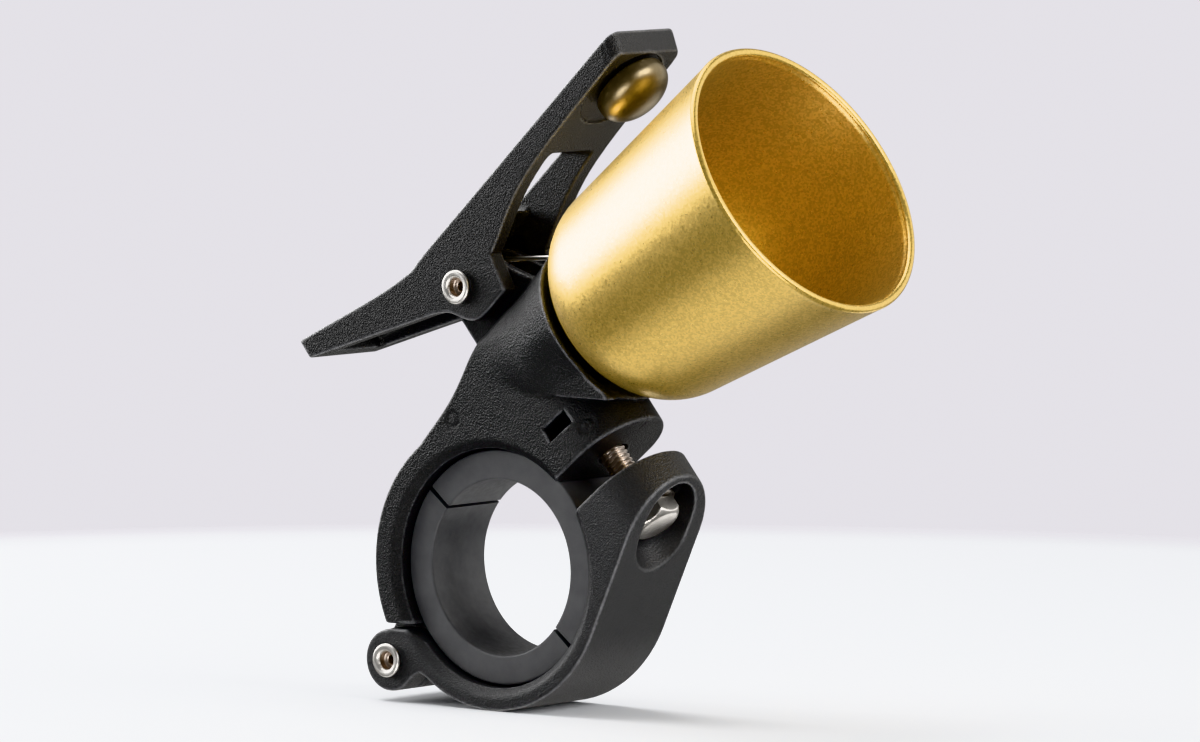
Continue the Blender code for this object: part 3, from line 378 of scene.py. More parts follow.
def skin(field, low, high, step):
    """The surface where a distance field is zero.

    Each cell of a grid that the surface crosses gets one point, the mean of the crossings on its sides, and
    each grid edge that it crosses gets the quad of its four cells. The points then slide along the gradient
    on to the surface, and their normals are the gradient. The field's mean a little way round each point
    tells how sharply the surface bends outwards, which marks the edges.
    """
    axes = [np.arange(a - 1.5 * step, b + 2.5 * step, step) for a, b in zip(low, high)]
    shape = tuple(len(a) for a in axes)
    d = np.broadcast_to(field(axes[0][:, None, None], axes[1][None, :, None], axes[2][None, None, :]), shape)
    inside = d < 0
    offsets = np.array(list(itertools.product((0, 1), repeat=3)))
    cells = tuple(n - 1 for n in shape)
    corners = [inside[i:i + cells[0], j:j + cells[1], k:k + cells[2]] for i, j, k in offsets]
    count = sum(corner.astype(np.int8) for corner in corners)
    active = (count > 0) & (count < 8)
    cell = np.argwhere(active)
    number = np.full(cells, -1)
    number[active] = np.arange(len(cell))
    corner_d = np.stack([d[tuple((cell + o).T)] for o in offsets], axis=1)
    total = np.zeros((len(cell), 3))
    hits = np.zeros((len(cell), 1))
    for a, b in itertools.combinations(range(8), 2):
        if np.abs(offsets[a] - offsets[b]).sum() != 1:
            continue
        crossed = ((corner_d[:, a] < 0) != (corner_d[:, b] < 0))[:, None]
        share = corner_d[:, a] / np.where(crossed[:, 0], corner_d[:, a] - corner_d[:, b], 1.0)
        total += crossed * (offsets[a] + share[:, None] * (offsets[b] - offsets[a]))
        hits += crossed
    points = np.array([a[0] for a in axes]) + step * (cell + total / hits)
    faces = []
    for axis in range(3):
        u, w = (axis + 1) % 3, (axis + 2) % 3
        here = [slice(1, -1)] * 3
        here[axis] = slice(0, -1)
        there = list(here)
        there[axis] = slice(1, None)
        first, second = inside[tuple(here)], inside[tuple(there)]
        edge = np.argwhere(first != second) + np.where(np.arange(3) == axis, 0, 1)
        leaving = first[first != second]
        step_u, step_w = np.eye(3, dtype=int)[u], np.eye(3, dtype=int)[w]
        around = ((1, 1), (0, 1), (0, 0), (1, 0))
        quad = np.stack([number[tuple((edge - a * step_u - b * step_w).T)] for a, b in around], axis=1)
        faces.append(np.where(leaving[:, None], quad, quad[:, ::-1]))
    for _ in range(SLIDES):
        gradient, value = slope(field, points)
        move = gradient * (value / np.maximum((gradient**2).sum(axis=1), 0.25))[:, None]
        length = np.linalg.norm(move, axis=1)[:, None]
        points = points - move * np.minimum(1.0, LONGEST_SLIDE * step / np.maximum(length, 1e-9))
    gradient, _ = slope(field, points)
    normals = gradient / np.maximum(np.linalg.norm(gradient, axis=1), 1e-9)[:, None]
    _, bend = slope(field, points, EDGE_REACH)
    return points, np.vstack(faces), normals, ramp(bend, *EDGE_BEND)


def put_piece(name, points, faces, material, body, slot, nodes, normals=None, mark=None):
    """A finished piece of points in millimetres and faces, on its body if any, in place of CAD nodes.

    A mark, a name and a value from 0 to 1 at each point, lets the finish differ in a hollow or on an edge.
    """
    faces = [np.asarray(f) for f in (faces if isinstance(faces, list) else [faces])]
    mesh = bpy.data.meshes.new(name)
    corners = np.concatenate([f.ravel() for f in faces])
    sizes = np.concatenate([np.full(len(f), f.shape[1]) for f in faces])
    mesh.vertices.add(len(points))
    mesh.vertices.foreach_set("co", (np.asarray(points) * MM).astype(np.float32).ravel())
    mesh.loops.add(len(corners))
    mesh.loops.foreach_set("vertex_index", corners.astype(np.int32))
    mesh.polygons.add(len(sizes))
    mesh.polygons.foreach_set("loop_start", np.concatenate(([0], np.cumsum(sizes)[:-1])).astype(np.int32))
    mesh.update(calc_edges=True)
    mesh.validate()
    if mark is not None:
        mesh.attributes.new(mark[0], "FLOAT", "POINT").data.foreach_set("value", mark[1].astype(np.float32))
    if normals is None:
        bm = bmesh.new()
        bm.from_mesh(mesh)
        bmesh.ops.remove_doubles(bm, verts=bm.verts, dist=1e-7)
        bmesh.ops.dissolve_degenerate(bm, edges=bm.edges, dist=1e-8)
        bmesh.ops.recalc_face_normals(bm, faces=bm.faces)
        bm.to_mesh(mesh)
        bm.free()
    mesh.shade_smooth()
    if normals is not None:
        mesh.normals_split_custom_set_from_vertices(normals.tolist())
    mesh.materials.append(material)
    piece = bpy.data.objects.new(name, mesh)
    bpy.context.scene.collection.objects.link(piece)
    if body is not None:
        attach(piece, body)
    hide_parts(*nodes)
    return piece


def grid_faces(rows, columns, close_rows=False, close_columns=True):
    """The quads between neighbouring points of a grid, round again where it closes."""
    i = np.arange(rows if close_rows else rows - 1)[:, None]
    j = np.arange(columns if close_columns else columns - 1)[None, :]
    up, on = (i + 1) % rows, (j + 1) % columns
    quad = (i * columns + j, i * columns + on, up * columns + on, up * columns + j)
    return np.stack([np.broadcast_to(q, (i.size, j.size)).ravel() for q in quad], axis=1)


CORNER_SHARE = 0.42
CORNER_LEAD = 0.15


def soften(profile, radius, closed=True, steps=5):
    """Each corner of a profile becomes a parabola between points a radius away on both of its sides.

    A short straight lead on both sides of each corner keeps the shading of the flats even.
    """
    p = np.asarray(profile, float)
    before, after = np.roll(p, 1, axis=0) - p, np.roll(p, -1, axis=0) - p
    room = CORNER_SHARE * np.minimum(np.linalg.norm(before, axis=1), np.linalg.norm(after, axis=1))
    reach = np.minimum(radius, room)[:, None]
    before = p + before / np.maximum(np.linalg.norm(before, axis=1), 1e-9)[:, None] * reach
    after = p + after / np.maximum(np.linalg.norm(after, axis=1), 1e-9)[:, None] * reach
    t = np.linspace(0.0, 1.0, steps)[None, :, None]
    bend = (1 - t)**2 * before[:, None] + 2 * t * (1 - t) * p[:, None] + t**2 * after[:, None]
    lead_in = (before + CORNER_LEAD * (before - p))[:, None]
    lead_out = (after + CORNER_LEAD * (after - p))[:, None]
    run = np.concatenate((lead_in, bend, lead_out), axis=1)
    if closed:
        return run.reshape(-1, 2)
    return np.vstack((p[:1], run[1:-1].reshape(-1, 2), p[-1:]))


def circle(columns, shift=0.0):
    """The angles of points spaced evenly round a circle, moved on by a share of the space between them."""
    return TURN * (np.arange(columns) + shift) / columns


def rows_round(rows, angle, place, closed=False):
    """Rows about a frame's Z, each a radius, which may change with the angle, and a height.

    The points are x = r cos a, y = r sin a, z = h.
    """
    radius = np.stack([np.broadcast_to(r, angle.shape) for r, _ in rows])
    height = np.broadcast_to(np.array([h for _, h in rows])[:, None], radius.shape)
    points = np.stack((radius * np.cos(angle), radius * np.sin(angle), height), axis=2)
    return place.world(points.reshape(-1, 3)), grid_faces(len(rows), angle.size, close_rows=closed)


def turned(profile, place, columns, closed=True):
    """A profile of radius and height turned about a frame's Z."""
    return rows_round(np.asarray(profile, float), circle(columns), place, closed)


def swept(section, path, across, up):
    """A closed section carried along a path: each point of the path plus the section's two coordinates
    times the path's two side directions there, with both ends closed on their centres."""
    body = path[:, None] + section[None, :, :1] * across[:, None] + section[None, :, 1:] * up[:, None]
    points = np.vstack((np.repeat(path[:1], len(section), axis=0), body.reshape(-1, 3),
                        np.repeat(path[-1:], len(section), axis=0)))
    return points, grid_faces(len(path) + 2, len(section))


def rectangle(half_width, half_height, edge):
    """A rectangle about the origin with softened corners."""
    return soften(np.array(((-1, -1), (1, -1), (1, 1), (-1, 1))) * (half_width, half_height), edge)


def polygon_radius(angle, sides, flats):
    """The radius of a regular polygon, given half its width across flats, at an angle."""
    part = TURN / sides
    return flats / np.cos((angle + part / 2) % part - part / 2)


# Materials

def feed(tree, value, socket):
    """A socket takes a value, by a link from another socket or as its own constant."""
    if isinstance(value, bpy.types.NodeSocket):
        tree.links.new(value, socket)
    else:
        socket.default_value = value


NOISE_LOW = 0.3
NOISE_HIGH = 0.7
# Base colour along the mouldings' edges: a painted highlight, several times lighter than their black.
EDGE_HIGHLIGHT_TONE = 0.085
EDGE_GLOSS = -0.12


class Finish:
    """A procedural material on Object coordinates, with short calls for its nodes."""

    def __init__(self, name, colour, roughness, metallic=0.0, specular=0.5):
        self.material = bpy.data.materials.new(name)
        self.material.use_nodes = True
        self.tree = self.material.node_tree
        self.shader = self.tree.nodes["Principled BSDF"]
        self.shader.inputs["Base Color"].default_value = (*colour, 1.0)
        self.shader.inputs["Roughness"].default_value = roughness
        self.shader.inputs["Metallic"].default_value = metallic
        self.shader.inputs["Specular IOR Level"].default_value = specular
        self.place = self.tree.nodes.new("ShaderNodeTexCoord").outputs["Object"]

    def node(self, kind, **inputs):
        """A node with its inputs, named with an underscore for each space."""
        made = self.tree.nodes.new("ShaderNode" + kind)
        for name, value in inputs.items():
            feed(self.tree, value, made.inputs[name.replace("_", " ")])
        return made

    def vector(self, operation, *values):
        """A vector worked out from some values, in the order of the node's inputs."""
        made = self.node("VectorMath")
        made.operation = operation
        for value, socket in zip(values, made.inputs):
            feed(self.tree, value, socket)
        return made.outputs["Vector"]

    def noise(self, size_mm, detail=2.0, rough=0.5):
        """Cloudy noise whose clouds are about the given size."""
        made = self.node("TexNoise", Vector=self.place, Scale=1.0 / (size_mm * MM), Detail=detail,
                         Roughness=rough)
        return made.outputs["Fac"]

    def cells(self, size_mm, output="Distance", feature="F1"):
        """Close-packed cells of about the given size."""
        made = self.node("TexVoronoi", Vector=self.place, Scale=1.0 / (size_mm * MM))
        made.feature = feature
        return made.outputs[output]

    def spread(self, value, low, high):
        """The middle range of a noise stretched between two numbers."""
        made = self.node("MapRange", Value=value, From_Min=NOISE_LOW, From_Max=NOISE_HIGH, To_Min=low,
                         To_Max=high)
        return made.outputs["Result"]

    def tint(self, factor, first, second):
        """The middle range of a noise as a ramp between two colours."""
        made = self.node("ValToRGB", Fac=factor)
        made.color_ramp.elements[0].color = (*first, 1.0)
        made.color_ramp.elements[1].color = (*second, 1.0)
        made.color_ramp.elements[0].position = NOISE_LOW
        made.color_ramp.elements[1].position = NOISE_HIGH
        return made.outputs["Color"]

    def mark(self, name):
        """The piece's own mark."""
        made = self.node("Attribute")
        made.attribute_name = name
        return made.outputs["Fac"]

    def marked(self, name, plain, other):
        """One colour, and another where the piece's own mark is set."""
        mix = self.tree.nodes.new("ShaderNodeMix")
        mix.data_type = "RGBA"
        factor, first, second = mix.inputs[0], mix.inputs[6], mix.inputs[7]
        for socket, value in ((factor, self.mark(name)), (first, plain), (second, other)):
            self.tree.links.new(value, socket)
        return mix.outputs[2]

    def sum(self, a, b, weight):
        """The first value plus the second times a weight."""
        made = self.node("Math")
        made.operation = "MULTIPLY_ADD"
        for value, socket in zip((b, weight, a), made.inputs):
            feed(self.tree, value, socket)
        return made.outputs["Value"]

    def bump(self, height, depth_mm):
        """A fine relief in the shading, of a height from 0 to 1 times a depth."""
        made = self.node("Bump", Height=height, Distance=depth_mm * MM, Strength=1.0)
        self.drive("Normal", made.outputs["Normal"])

    def drive(self, socket, value):
        """One of the shader's sockets follows a value."""
        self.tree.links.new(value, self.shader.inputs[socket])


def grained_nylon(name, pebble_mm, depth_mm, roughness, tone, specular):
    """Black moulding with a spark-eroded skin: small pebbles over a slower swell."""
    finish = Finish(name, (tone, tone, tone), roughness, specular=specular)
    pebbles = finish.cells(pebble_mm, "Distance", "SMOOTH_F1")
    fine = finish.noise(0.6 * pebble_mm, detail=3.0, rough=0.6)
    skin_height = finish.sum(pebbles, fine, weight=0.9)
    finish.bump(finish.sum(skin_height, finish.noise(4 * pebble_mm), weight=0.5), depth_mm)
    rough = finish.spread(fine, low=roughness - 0.06, high=roughness + 0.08)
    finish.drive("Roughness", finish.sum(rough, finish.mark("edge"), EDGE_GLOSS))
    cool = np.array((1.0, 1.0, 1.03))
    plain = finish.tint(finish.noise(0.3), 0.8 * tone * cool, 1.3 * tone * cool)
    # The rounded edges that the edge mark finds are painted lighter: a painted highlight along every edge,
    # with a noise in its tone.
    edge_highlight = finish.tint(finish.noise(0.8), EDGE_HIGHLIGHT_TONE * cool, 1.8 * EDGE_HIGHLIGHT_TONE * cool)
    finish.drive("Base Color", finish.marked("edge", plain, edge_highlight))
    return finish.material


def liner_nylon():
    """Dark grey liner: nearly smooth, with faint fine texture and slow clouding."""
    finish = Finish("liner_grey_nylon", (0.095, 0.095, 0.097), roughness=0.5)
    finish.bump(finish.sum(finish.noise(0.25), finish.noise(2.5), weight=0.5), depth_mm=0.02)
    finish.drive("Roughness", finish.spread(finish.noise(0.8), low=0.46, high=0.58))
    cloud = finish.noise(3.0, detail=3.0)
    finish.drive("Base Color", finish.tint(cloud, (0.085, 0.085, 0.087), (0.105, 0.105, 0.107)))
    return finish.material


FLAKE_SIZE = 0.28
FLAKE_TILT = 0.035


def flake_gold():
    """Gold flake paint: small flakes, each with its own tilt and brightness, under a satin clear coat."""
    finish = Finish("flake_gold_paint", (0.8, 0.54, 0.16), roughness=0.32, metallic=0.82)
    finish.shader.inputs["Coat Weight"].default_value = 0.4
    finish.shader.inputs["Coat Roughness"].default_value = 0.3
    flake = finish.cells(FLAKE_SIZE, "Color")
    grey = finish.node("RGBToBW", Color=flake).outputs["Val"]
    outside = finish.tint(grey, (0.69, 0.48, 0.135), (0.88, 0.615, 0.18))
    # Inside the cup the paint gets a second tint with more blue than outside: painted light, offsetting the
    # deeper colour that the cup's reflections of itself give.
    inside = finish.tint(grey, (0.63, 0.46, 0.17), (0.86, 0.63, 0.24))
    finish.drive("Base Color", finish.marked("inside", outside, inside))
    surface = finish.node("NewGeometry").outputs["Normal"]
    centred = finish.vector("SUBTRACT", flake, (0.5, 0.5, 0.5))
    tilted = finish.vector("MULTIPLY_ADD", centred, (FLAKE_TILT, FLAKE_TILT, FLAKE_TILT), surface)
    finish.drive("Normal", finish.vector("NORMALIZE", tilted))
    finish.drive("Roughness", finish.spread(finish.noise(0.5), low=0.27, high=0.35))
    return finish.material


HOLLOW_SHADE = 0.75
HOLLOW_TINT = (1.0, 0.88, 0.8)


def metal(name, dark, light, roughness, grain_mm, depth_mm):
    """Plated or turned metal: slow changes of tone, fine grain in its gloss and faint handling marks."""
    finish = Finish(name, light, roughness, metallic=1.0)
    grain = finish.noise(grain_mm, detail=3.0, rough=0.6)
    tone = finish.noise(1.6, detail=3.0)
    brown = HOLLOW_SHADE * np.array(dark) * HOLLOW_TINT
    plain, hollow = finish.tint(tone, dark, light), finish.tint(tone, brown, brown)
    finish.drive("Base Color", finish.marked("inside", plain, hollow))
    finish.drive("Roughness", finish.spread(grain, low=roughness * 0.8, high=roughness * 1.3))
    finish.bump(finish.sum(grain, finish.noise(1.4), weight=0.4), depth_mm)
    return finish.material


def dull_rubber():
    """Black rubber: nearly no gloss, with a fine relief and slight clouding."""
    finish = Finish("dull_black_rubber", (0.010, 0.010, 0.010), roughness=0.75, specular=0.3)
    finish.bump(finish.noise(0.3, detail=3.0), depth_mm=0.03)
    finish.drive("Base Color", finish.tint(finish.noise(1.0), (0.007, 0.007, 0.007), (0.014, 0.014, 0.014)))
    return finish.material


NYLON = grained_nylon("grained_black_nylon", pebble_mm=0.26, depth_mm=0.13, roughness=0.36, tone=0.016,
                      specular=0.42)
FINE_NYLON = grained_nylon("fine_black_nylon", pebble_mm=0.24, depth_mm=0.07, roughness=0.44, tone=0.016,
                           specular=0.5)
# The strap's black is nearly twice the base's tone: painted light, standing in for the floor's bounce light
# on the strap's front.
STRAP_NYLON = grained_nylon("strap_black_nylon", pebble_mm=0.24, depth_mm=0.06, roughness=0.46, tone=0.029,
                            specular=0.6)
LINER = liner_nylon()
GOLD = flake_gold()
BRASS = metal("polished_hammer_brass", dark=(0.21, 0.17, 0.105), light=(0.27, 0.22, 0.14), roughness=0.34,
              grain_mm=0.12, depth_mm=0.003)
NICKEL = metal("bright_nickel_plate", dark=(0.72, 0.70, 0.67), light=(0.84, 0.82, 0.79), roughness=0.40,
               grain_mm=0.15, depth_mm=0.003)
ZINC = metal("zinc_plated_steel", dark=(0.72, 0.69, 0.65), light=(0.84, 0.81, 0.77), roughness=0.34,
             grain_mm=0.18, depth_mm=0.005)
RUBBER = dull_rubber()


# The three black mouldings, as distance fields

# Where the base's forms end and how they run into each other
EAR_ROOT = 1.2
TRUNK_WAIST = 10.2
TRUNK_DEPTH = 8.7
TRUNK_TAIL = 7.3
TRUNK_NARROWING = 4.0
TOP_HOLLOW = 0.1
FRONT_HOLLOW = 0.75
FLARE_SPAN = (-1.0, 4.5)
DISH_TOP = 12.0
DISH_LIP = 0.6
INSERT_HOLE_END = -9.1
SCREW_HOLE_END = -9.7
KNUCKLE_ROOT_Z = ARCH_END_Z + 2.15
KNUCKLE_ROOT = (16.9, 20.9)
KNUCKLE_GAP_ROOT = (16.4, 21.5)
LUG_ROOT = PIVOT + (2.4, -10.5)
LUG_INSET = 0.6
BOLT_HOLE_PAST = 1.0
NUT_SLOT_HALF = 1.4
WINDOW_HALF_HEIGHT = 1.1
LEG_START = PIVOT + COIL_RADIUS * np.array((-math.sin(LEG_RISE), math.cos(LEG_RISE)))

# The cheeks below the seat: a slanting plane on each side, kept under a cone from the lip
CHEEK_FLARE = 0.108
CHEEK_LEAN = 0.167
CHEEK_START = 10.2
CHEEK_LEAD = 1.2
CHEEK_FOOT = 25.4
CHEEK_TOP = -3.0
CHEEK_REACH = 1.7
RELIEF_SLOPE = 0.69
CHEEK_SCALE = 0.98
RELIEF_SCALE = 0.8

# Radii of edges and fillets, and where along or across the cup's axis some of them change
SIDE_EDGE = 0.55
NECK_EDGE = 3.6
NECK_EDGE_ALONG = (-19.0, -8.0)
NECK_EDGE_HIGH = (0.0, 6.0)
EAR_FILLET = 0.6
CHEEK_FILLET = 0.9
SEAT_FILLET = 0.35
NECK_FILLET = 2.6
NECK_FILLET_HIGH = (-4.0, 3.0)
KNUCKLE_EDGE = 0.35
KNUCKLE_FILLET = 0.6
LUG_EDGE = 0.35
LUG_FILLET = 0.7
BORE_EDGE = 0.4
DISH_EDGE = 0.15
HOLE_EDGE = 0.2
WINDOW_EDGE = 0.25
WIRE_HOLE_EDGE = 0.1

# Moulding marks: rings left by the ejector pins and the parting line round the ear
EJECTOR_MARKS = ((-6.8, 21.0), (17.0, 21.4))
EJECTOR_RADIUS = 1.0
EJECTOR_WIDTH = 0.3
EJECTOR_DEPTH = 0.2
EJECTOR_FRONT = (5.0, 6.0)
PARTING_WIDTH = 0.2
PARTING_DEPTH = 0.1
PARTING_SPAN = (5.0, 7.0)


def clamp_bore(x, y, z):
    """The round seat for the liners, with a 45 degree lead-in from near both ends."""
    past = np.hypot(x, z) - SEAT_RADIUS
    return np.minimum(past, (past - (np.abs(y) - CLAMP_HALF + LEAD_IN)) * math.sqrt(0.5))


def plan_depth(out, y):
    """Depth from the middle plane, but from the bolt's axis past it, so that the ears end half round."""
    return np.hypot(np.maximum(out, 0.0), y)


def arch_outline():
    """The base's side view: neck, arch and the root of the bell seat over the bar's bore."""
    start = ARCH_RADIUS * np.array((math.cos(NECK_ANGLE), math.sin(NECK_ANGLE)))
    chord = start - SHOULDER
    bow = np.array((-chord[1], chord[0])) / np.hypot(*chord) * NECK_BOW
    neck = smooth_run([SHOULDER, SHOULDER + chord / 2 + bow, start], 24)
    end = math.pi + math.asin(-ARCH_END_Z / ARCH_RADIUS)
    arch = arc((0, 0), ARCH_RADIUS, NECK_ANGLE, end, 90)[1:]
    inside_ear = BODY_EAR + EAR_ROOT
    return np.vstack((on_bell(-SEAT_DEPTH - FIT, NECK_RADIUS), neck, arch, (0, ARCH_END_Z), (0, 0),
                      on_bolt(BOLT_REACH / 2, inside_ear), on_bolt(BOLT_REACH, inside_ear),
                      on_bell(-SEAT_DEPTH - FIT, -NECK_RADIUS)))


def trunk_profile(hollow):
    """The bell seat's outside: a cone from the lip that may be hollowed, and a tail into the neck.

    Down the cone the radius falls evenly, less a bow of t to the 0.7 times (1 - t). Down the tail it falls
    by t to the 1.7.
    """
    t = np.linspace(0.0, 1.0, 30)
    length = FLANGE_RISE + TRUNK_DEPTH
    bow = 4 * hollow * t**0.7 * (1 - t)
    cone_radius = FLANGE_RADIUS - (FLANGE_RADIUS - TRUNK_WAIST) * t - bow
    cone = np.stack((cone_radius, FLANGE_RISE - length * t), axis=1)
    tail = np.stack((TRUNK_WAIST - TRUNK_NARROWING * t**1.7, -TRUNK_DEPTH - TRUNK_TAIL * t), axis=1)
    return np.vstack(((0, FLANGE_RISE), cone, tail[1:], (0, tail[-1, 1])))


def dish_profile():
    """The hollow in the seat for the cup's round base, the damping washer, the insert and the screw.

    Beyond the lip it opens as a cone, which keeps the cheeks clear of the cup.
    """
    reach = (DISH_TOP - FLANGE_RISE) / RELIEF_SLOPE
    insert, screw = INSERT_RADIUS + FIT, SCREW_RADIUS + FIT
    return [(0, DISH_TOP), (FLANGE_RADIUS + reach, DISH_TOP), (FLANGE_RADIUS, FLANGE_RISE),
            (FLANGE_RADIUS - DISH_LIP, FLANGE_RISE), (DAMPER_RADIUS + FIT, -SEAT_DEPTH),
            (insert, -SEAT_DEPTH), (insert, INSERT_HOLE_END), (screw, INSERT_HOLE_END),
            (screw, SCREW_HOLE_END), (0, SCREW_HOLE_END)]


def knuckle_outline(radius, root):
    """A disc round the hinge, drawn out to two places at given radii on the arch's end."""
    ends = [(-math.sqrt(r**2 - KNUCKLE_ROOT_Z**2), KNUCKLE_ROOT_Z) for r in root]
    return hull(arc(HINGE, radius, 0, TURN, 73), ends)


ARCH_SIDE = Outline(arch_outline())
TRUNK = Outline(mirrored(trunk_profile(TOP_HOLLOW)))
FLARED_TRUNK = Outline(mirrored(trunk_profile(FRONT_HOLLOW)))
DISH = Outline(mirrored(dish_profile()), margin=3.0)
BODY_KNUCKLE = Outline(knuckle_outline(KNUCKLE_RADIUS, KNUCKLE_ROOT))
LUG = Outline(hull(arc(PIVOT, LUG_RADIUS, 0, TURN, 91),
                   [LUG_ROOT, on_bell(-SEAT_DEPTH - FIT, NECK_RADIUS - LUG_INSET)]))


def pin_hole(x, z, place, radius):
    """A round hole along the bar at a place in the XZ plane, with room for what goes into it."""
    return np.hypot(x - place[0], z - place[1]) - radius - FIT


def cheek_field(x, z, wide, high, along, off_axis):
    """The cheeks below the seat: inside a leaning plane, above a foot and under a cone from the lip."""
    cheek_out = CLAMP_HALF + CHEEK_FLARE * (x - CHEEK_START) + CHEEK_LEAN * (z - CHEEK_FOOT)
    relief = along - FLANGE_RISE - np.clip(RELIEF_SLOPE * (off_axis - FLANGE_RADIUS), 0.0, CHEEK_REACH)
    cheek = np.maximum(CHEEK_SCALE * (wide - cheek_out), CHEEK_FOOT - z)
    cheek = np.maximum(cheek, RELIEF_SCALE * relief)
    return np.maximum(cheek, np.maximum(high - CHEEK_TOP, CHEEK_START - CHEEK_LEAD - x))


def spring_leg_hole(x, y, z):
    """The hole for the spring's long leg, along the leg's outer half."""
    leg_x, leg_z = LEG_START
    c, s = math.cos(LEG_RISE), math.sin(LEG_RISE)
    run = (x - leg_x) * c + (z - leg_z) * s
    off = np.hypot((z - leg_z) * c - (x - leg_x) * s, y - COIL_HALF)
    return np.maximum(off - WIRE_RADIUS - FIT, LONG_LEG / 2 - run)


def body_field(x, y, z):
    """The base: arch, neck and ear as one side view given the clamp's width, blended with the round trunk.

    Its holes are cut out, and the moulding marks are dents shaped as a bell curve.
    """
    wide = np.abs(y)
    out, up = BOLT.local(x, z)
    across, along = BELL.local(x, z)
    high = -across
    off_axis = np.hypot(across, y)
    ear = np.maximum(-out - CLAMP_HALF, np.abs(up - (BODY_EAR + EAR_TOP) / 2) - (EAR_TOP - BODY_EAR) / 2)
    side = join(ARCH_SIDE(x, z), ear, EAR_FILLET)
    edge = SIDE_EDGE + NECK_EDGE * ramp(along, *NECK_EDGE_ALONG) * ramp(high, *NECK_EDGE_HIGH)
    body = raised(side, plan_depth(out, y), CLAMP_HALF, edge)
    flare = ramp(-high, *FLARE_SPAN)
    trunk = TRUNK(off_axis, along) * (1 - flare) + FLARED_TRUNK(off_axis, along) * flare
    trunk = join(trunk, cheek_field(x, z, wide, high, along, off_axis), CHEEK_FILLET)
    body = join(body, trunk, SEAT_FILLET + NECK_FILLET * ramp(high, *NECK_FILLET_HIGH))
    body = join(body, raised(BODY_KNUCKLE(x, z), wide, CENTRE_HALF, KNUCKLE_EDGE), KNUCKLE_FILLET)
    lug_depth = np.abs(wide - (LUG_INNER + LUG_OUTER) / 2)
    body = join(body, raised(LUG(x, z), lug_depth, (LUG_OUTER - LUG_INNER) / 2, LUG_EDGE), LUG_FILLET)
    body = cut(body, clamp_bore(x, y, z), BORE_EDGE)
    body = cut(body, DISH(off_axis, along), DISH_EDGE)
    body = cut(body, pin_hole(x, z, PIVOT, SLEEVE_RADIUS), HOLE_EDGE)
    body = cut(body, pin_hole(x, z, HINGE, RIVET_RADIUS), HOLE_EDGE)
    bolt_hole = np.maximum(np.hypot(out, y) - BOLT_RADIUS - FIT, up - BOLT_TIP - BOLT_HOLE_PAST)
    body = cut(body, bolt_hole, HOLE_EDGE)
    off_nut = np.abs(up - (NUT_BOTTOM + NUT_TOP) / 2)
    nut_slot = np.maximum(np.maximum(np.abs(out), -y) - NUT_HALF - FIT, off_nut - NUT_SLOT_HALF)
    body = cut(body, nut_slot, HOLE_EDGE)
    window = np.maximum(off_nut - WINDOW_HALF_HEIGHT, np.maximum(np.abs(out) - WINDOW_HALF, y))
    body = cut(body, window, WINDOW_EDGE)
    body = cut(body, spring_leg_hole(x, y, z), WIRE_HOLE_EDGE)
    for mark_x, mark_z in EJECTOR_MARKS:
        ring = np.exp(-((np.hypot(x - mark_x, z - mark_z) - EJECTOR_RADIUS) / EJECTOR_WIDTH)**2)
        body = body + EJECTOR_DEPTH * ring * ramp(-y, *EJECTOR_FRONT)
    parting = np.exp(-(y / PARTING_WIDTH)**2) * ramp(out, *PARTING_SPAN)
    return body + PARTING_DEPTH * parting


# Radii of the strap's edges and fillets, and the wedge between its arc and its knuckles
STRAP_EDGE = 0.4
STRAP_ROOT_FILLET = 0.4
STRAP_KNUCKLE_FILLET = 0.9
STRAP_BORE_EDGE = 0.45
STRAP_GAP_EDGE = 0.25
COUNTERBORE_EDGE = 0.45
EAR_PAST = 2.0
STRAP_WEDGE = (HINGE + (0.4, 4.45), (-15.7, -9.75), (-12.6, -11.6), (-11.6, -16.4), (-13.4, -15.9),
               (-15.0, -16.4))


def strap_outline():
    """The strap's side view: an arc under the bar, then a straight face up to the ear's end."""
    tangent_angle = STRAP_FACE - math.pi / 2
    ear_end = BOLT_REACH + CLAMP_HALF + EAR_PAST
    tangent = STRAP_RADIUS * np.array((math.cos(tangent_angle), math.sin(tangent_angle)))
    along = np.array((math.cos(STRAP_FACE), math.sin(STRAP_FACE)))
    out = np.array((math.cos(EAR_TILT), math.sin(EAR_TILT)))
    face_end = tangent + along * (ear_end - tangent @ out) / (along @ out)
    outer = arc((0, 0), STRAP_RADIUS, STRAP_START, tangent_angle + TURN, 90)
    bore_side = SEAT_RADIUS - LEAD_IN
    inner_angle = EAR_TILT + math.asin(STRAP_EAR / SEAT_RADIUS)
    inner = arc((0, 0), bore_side, inner_angle, STRAP_START - TURN, 60)
    ear = (on_bolt(ear_end, STRAP_EAR), on_bolt(bore_side, STRAP_EAR))
    return np.vstack((outer, face_end, *ear, inner[1:]))


STRAP_SIDE = Outline(strap_outline())
STRAP_ROOT = Outline([HINGE, *STRAP_WEDGE])
CENTRE_GAP = Outline(knuckle_outline(KNUCKLE_RADIUS + FIT, KNUCKLE_GAP_ROOT))


def obround(out, y, radius):
    """Distance to a slot along the ear whose two ends are round."""
    return np.hypot(out - np.clip(out, 0.0, SLOT_STRETCH), y) - radius


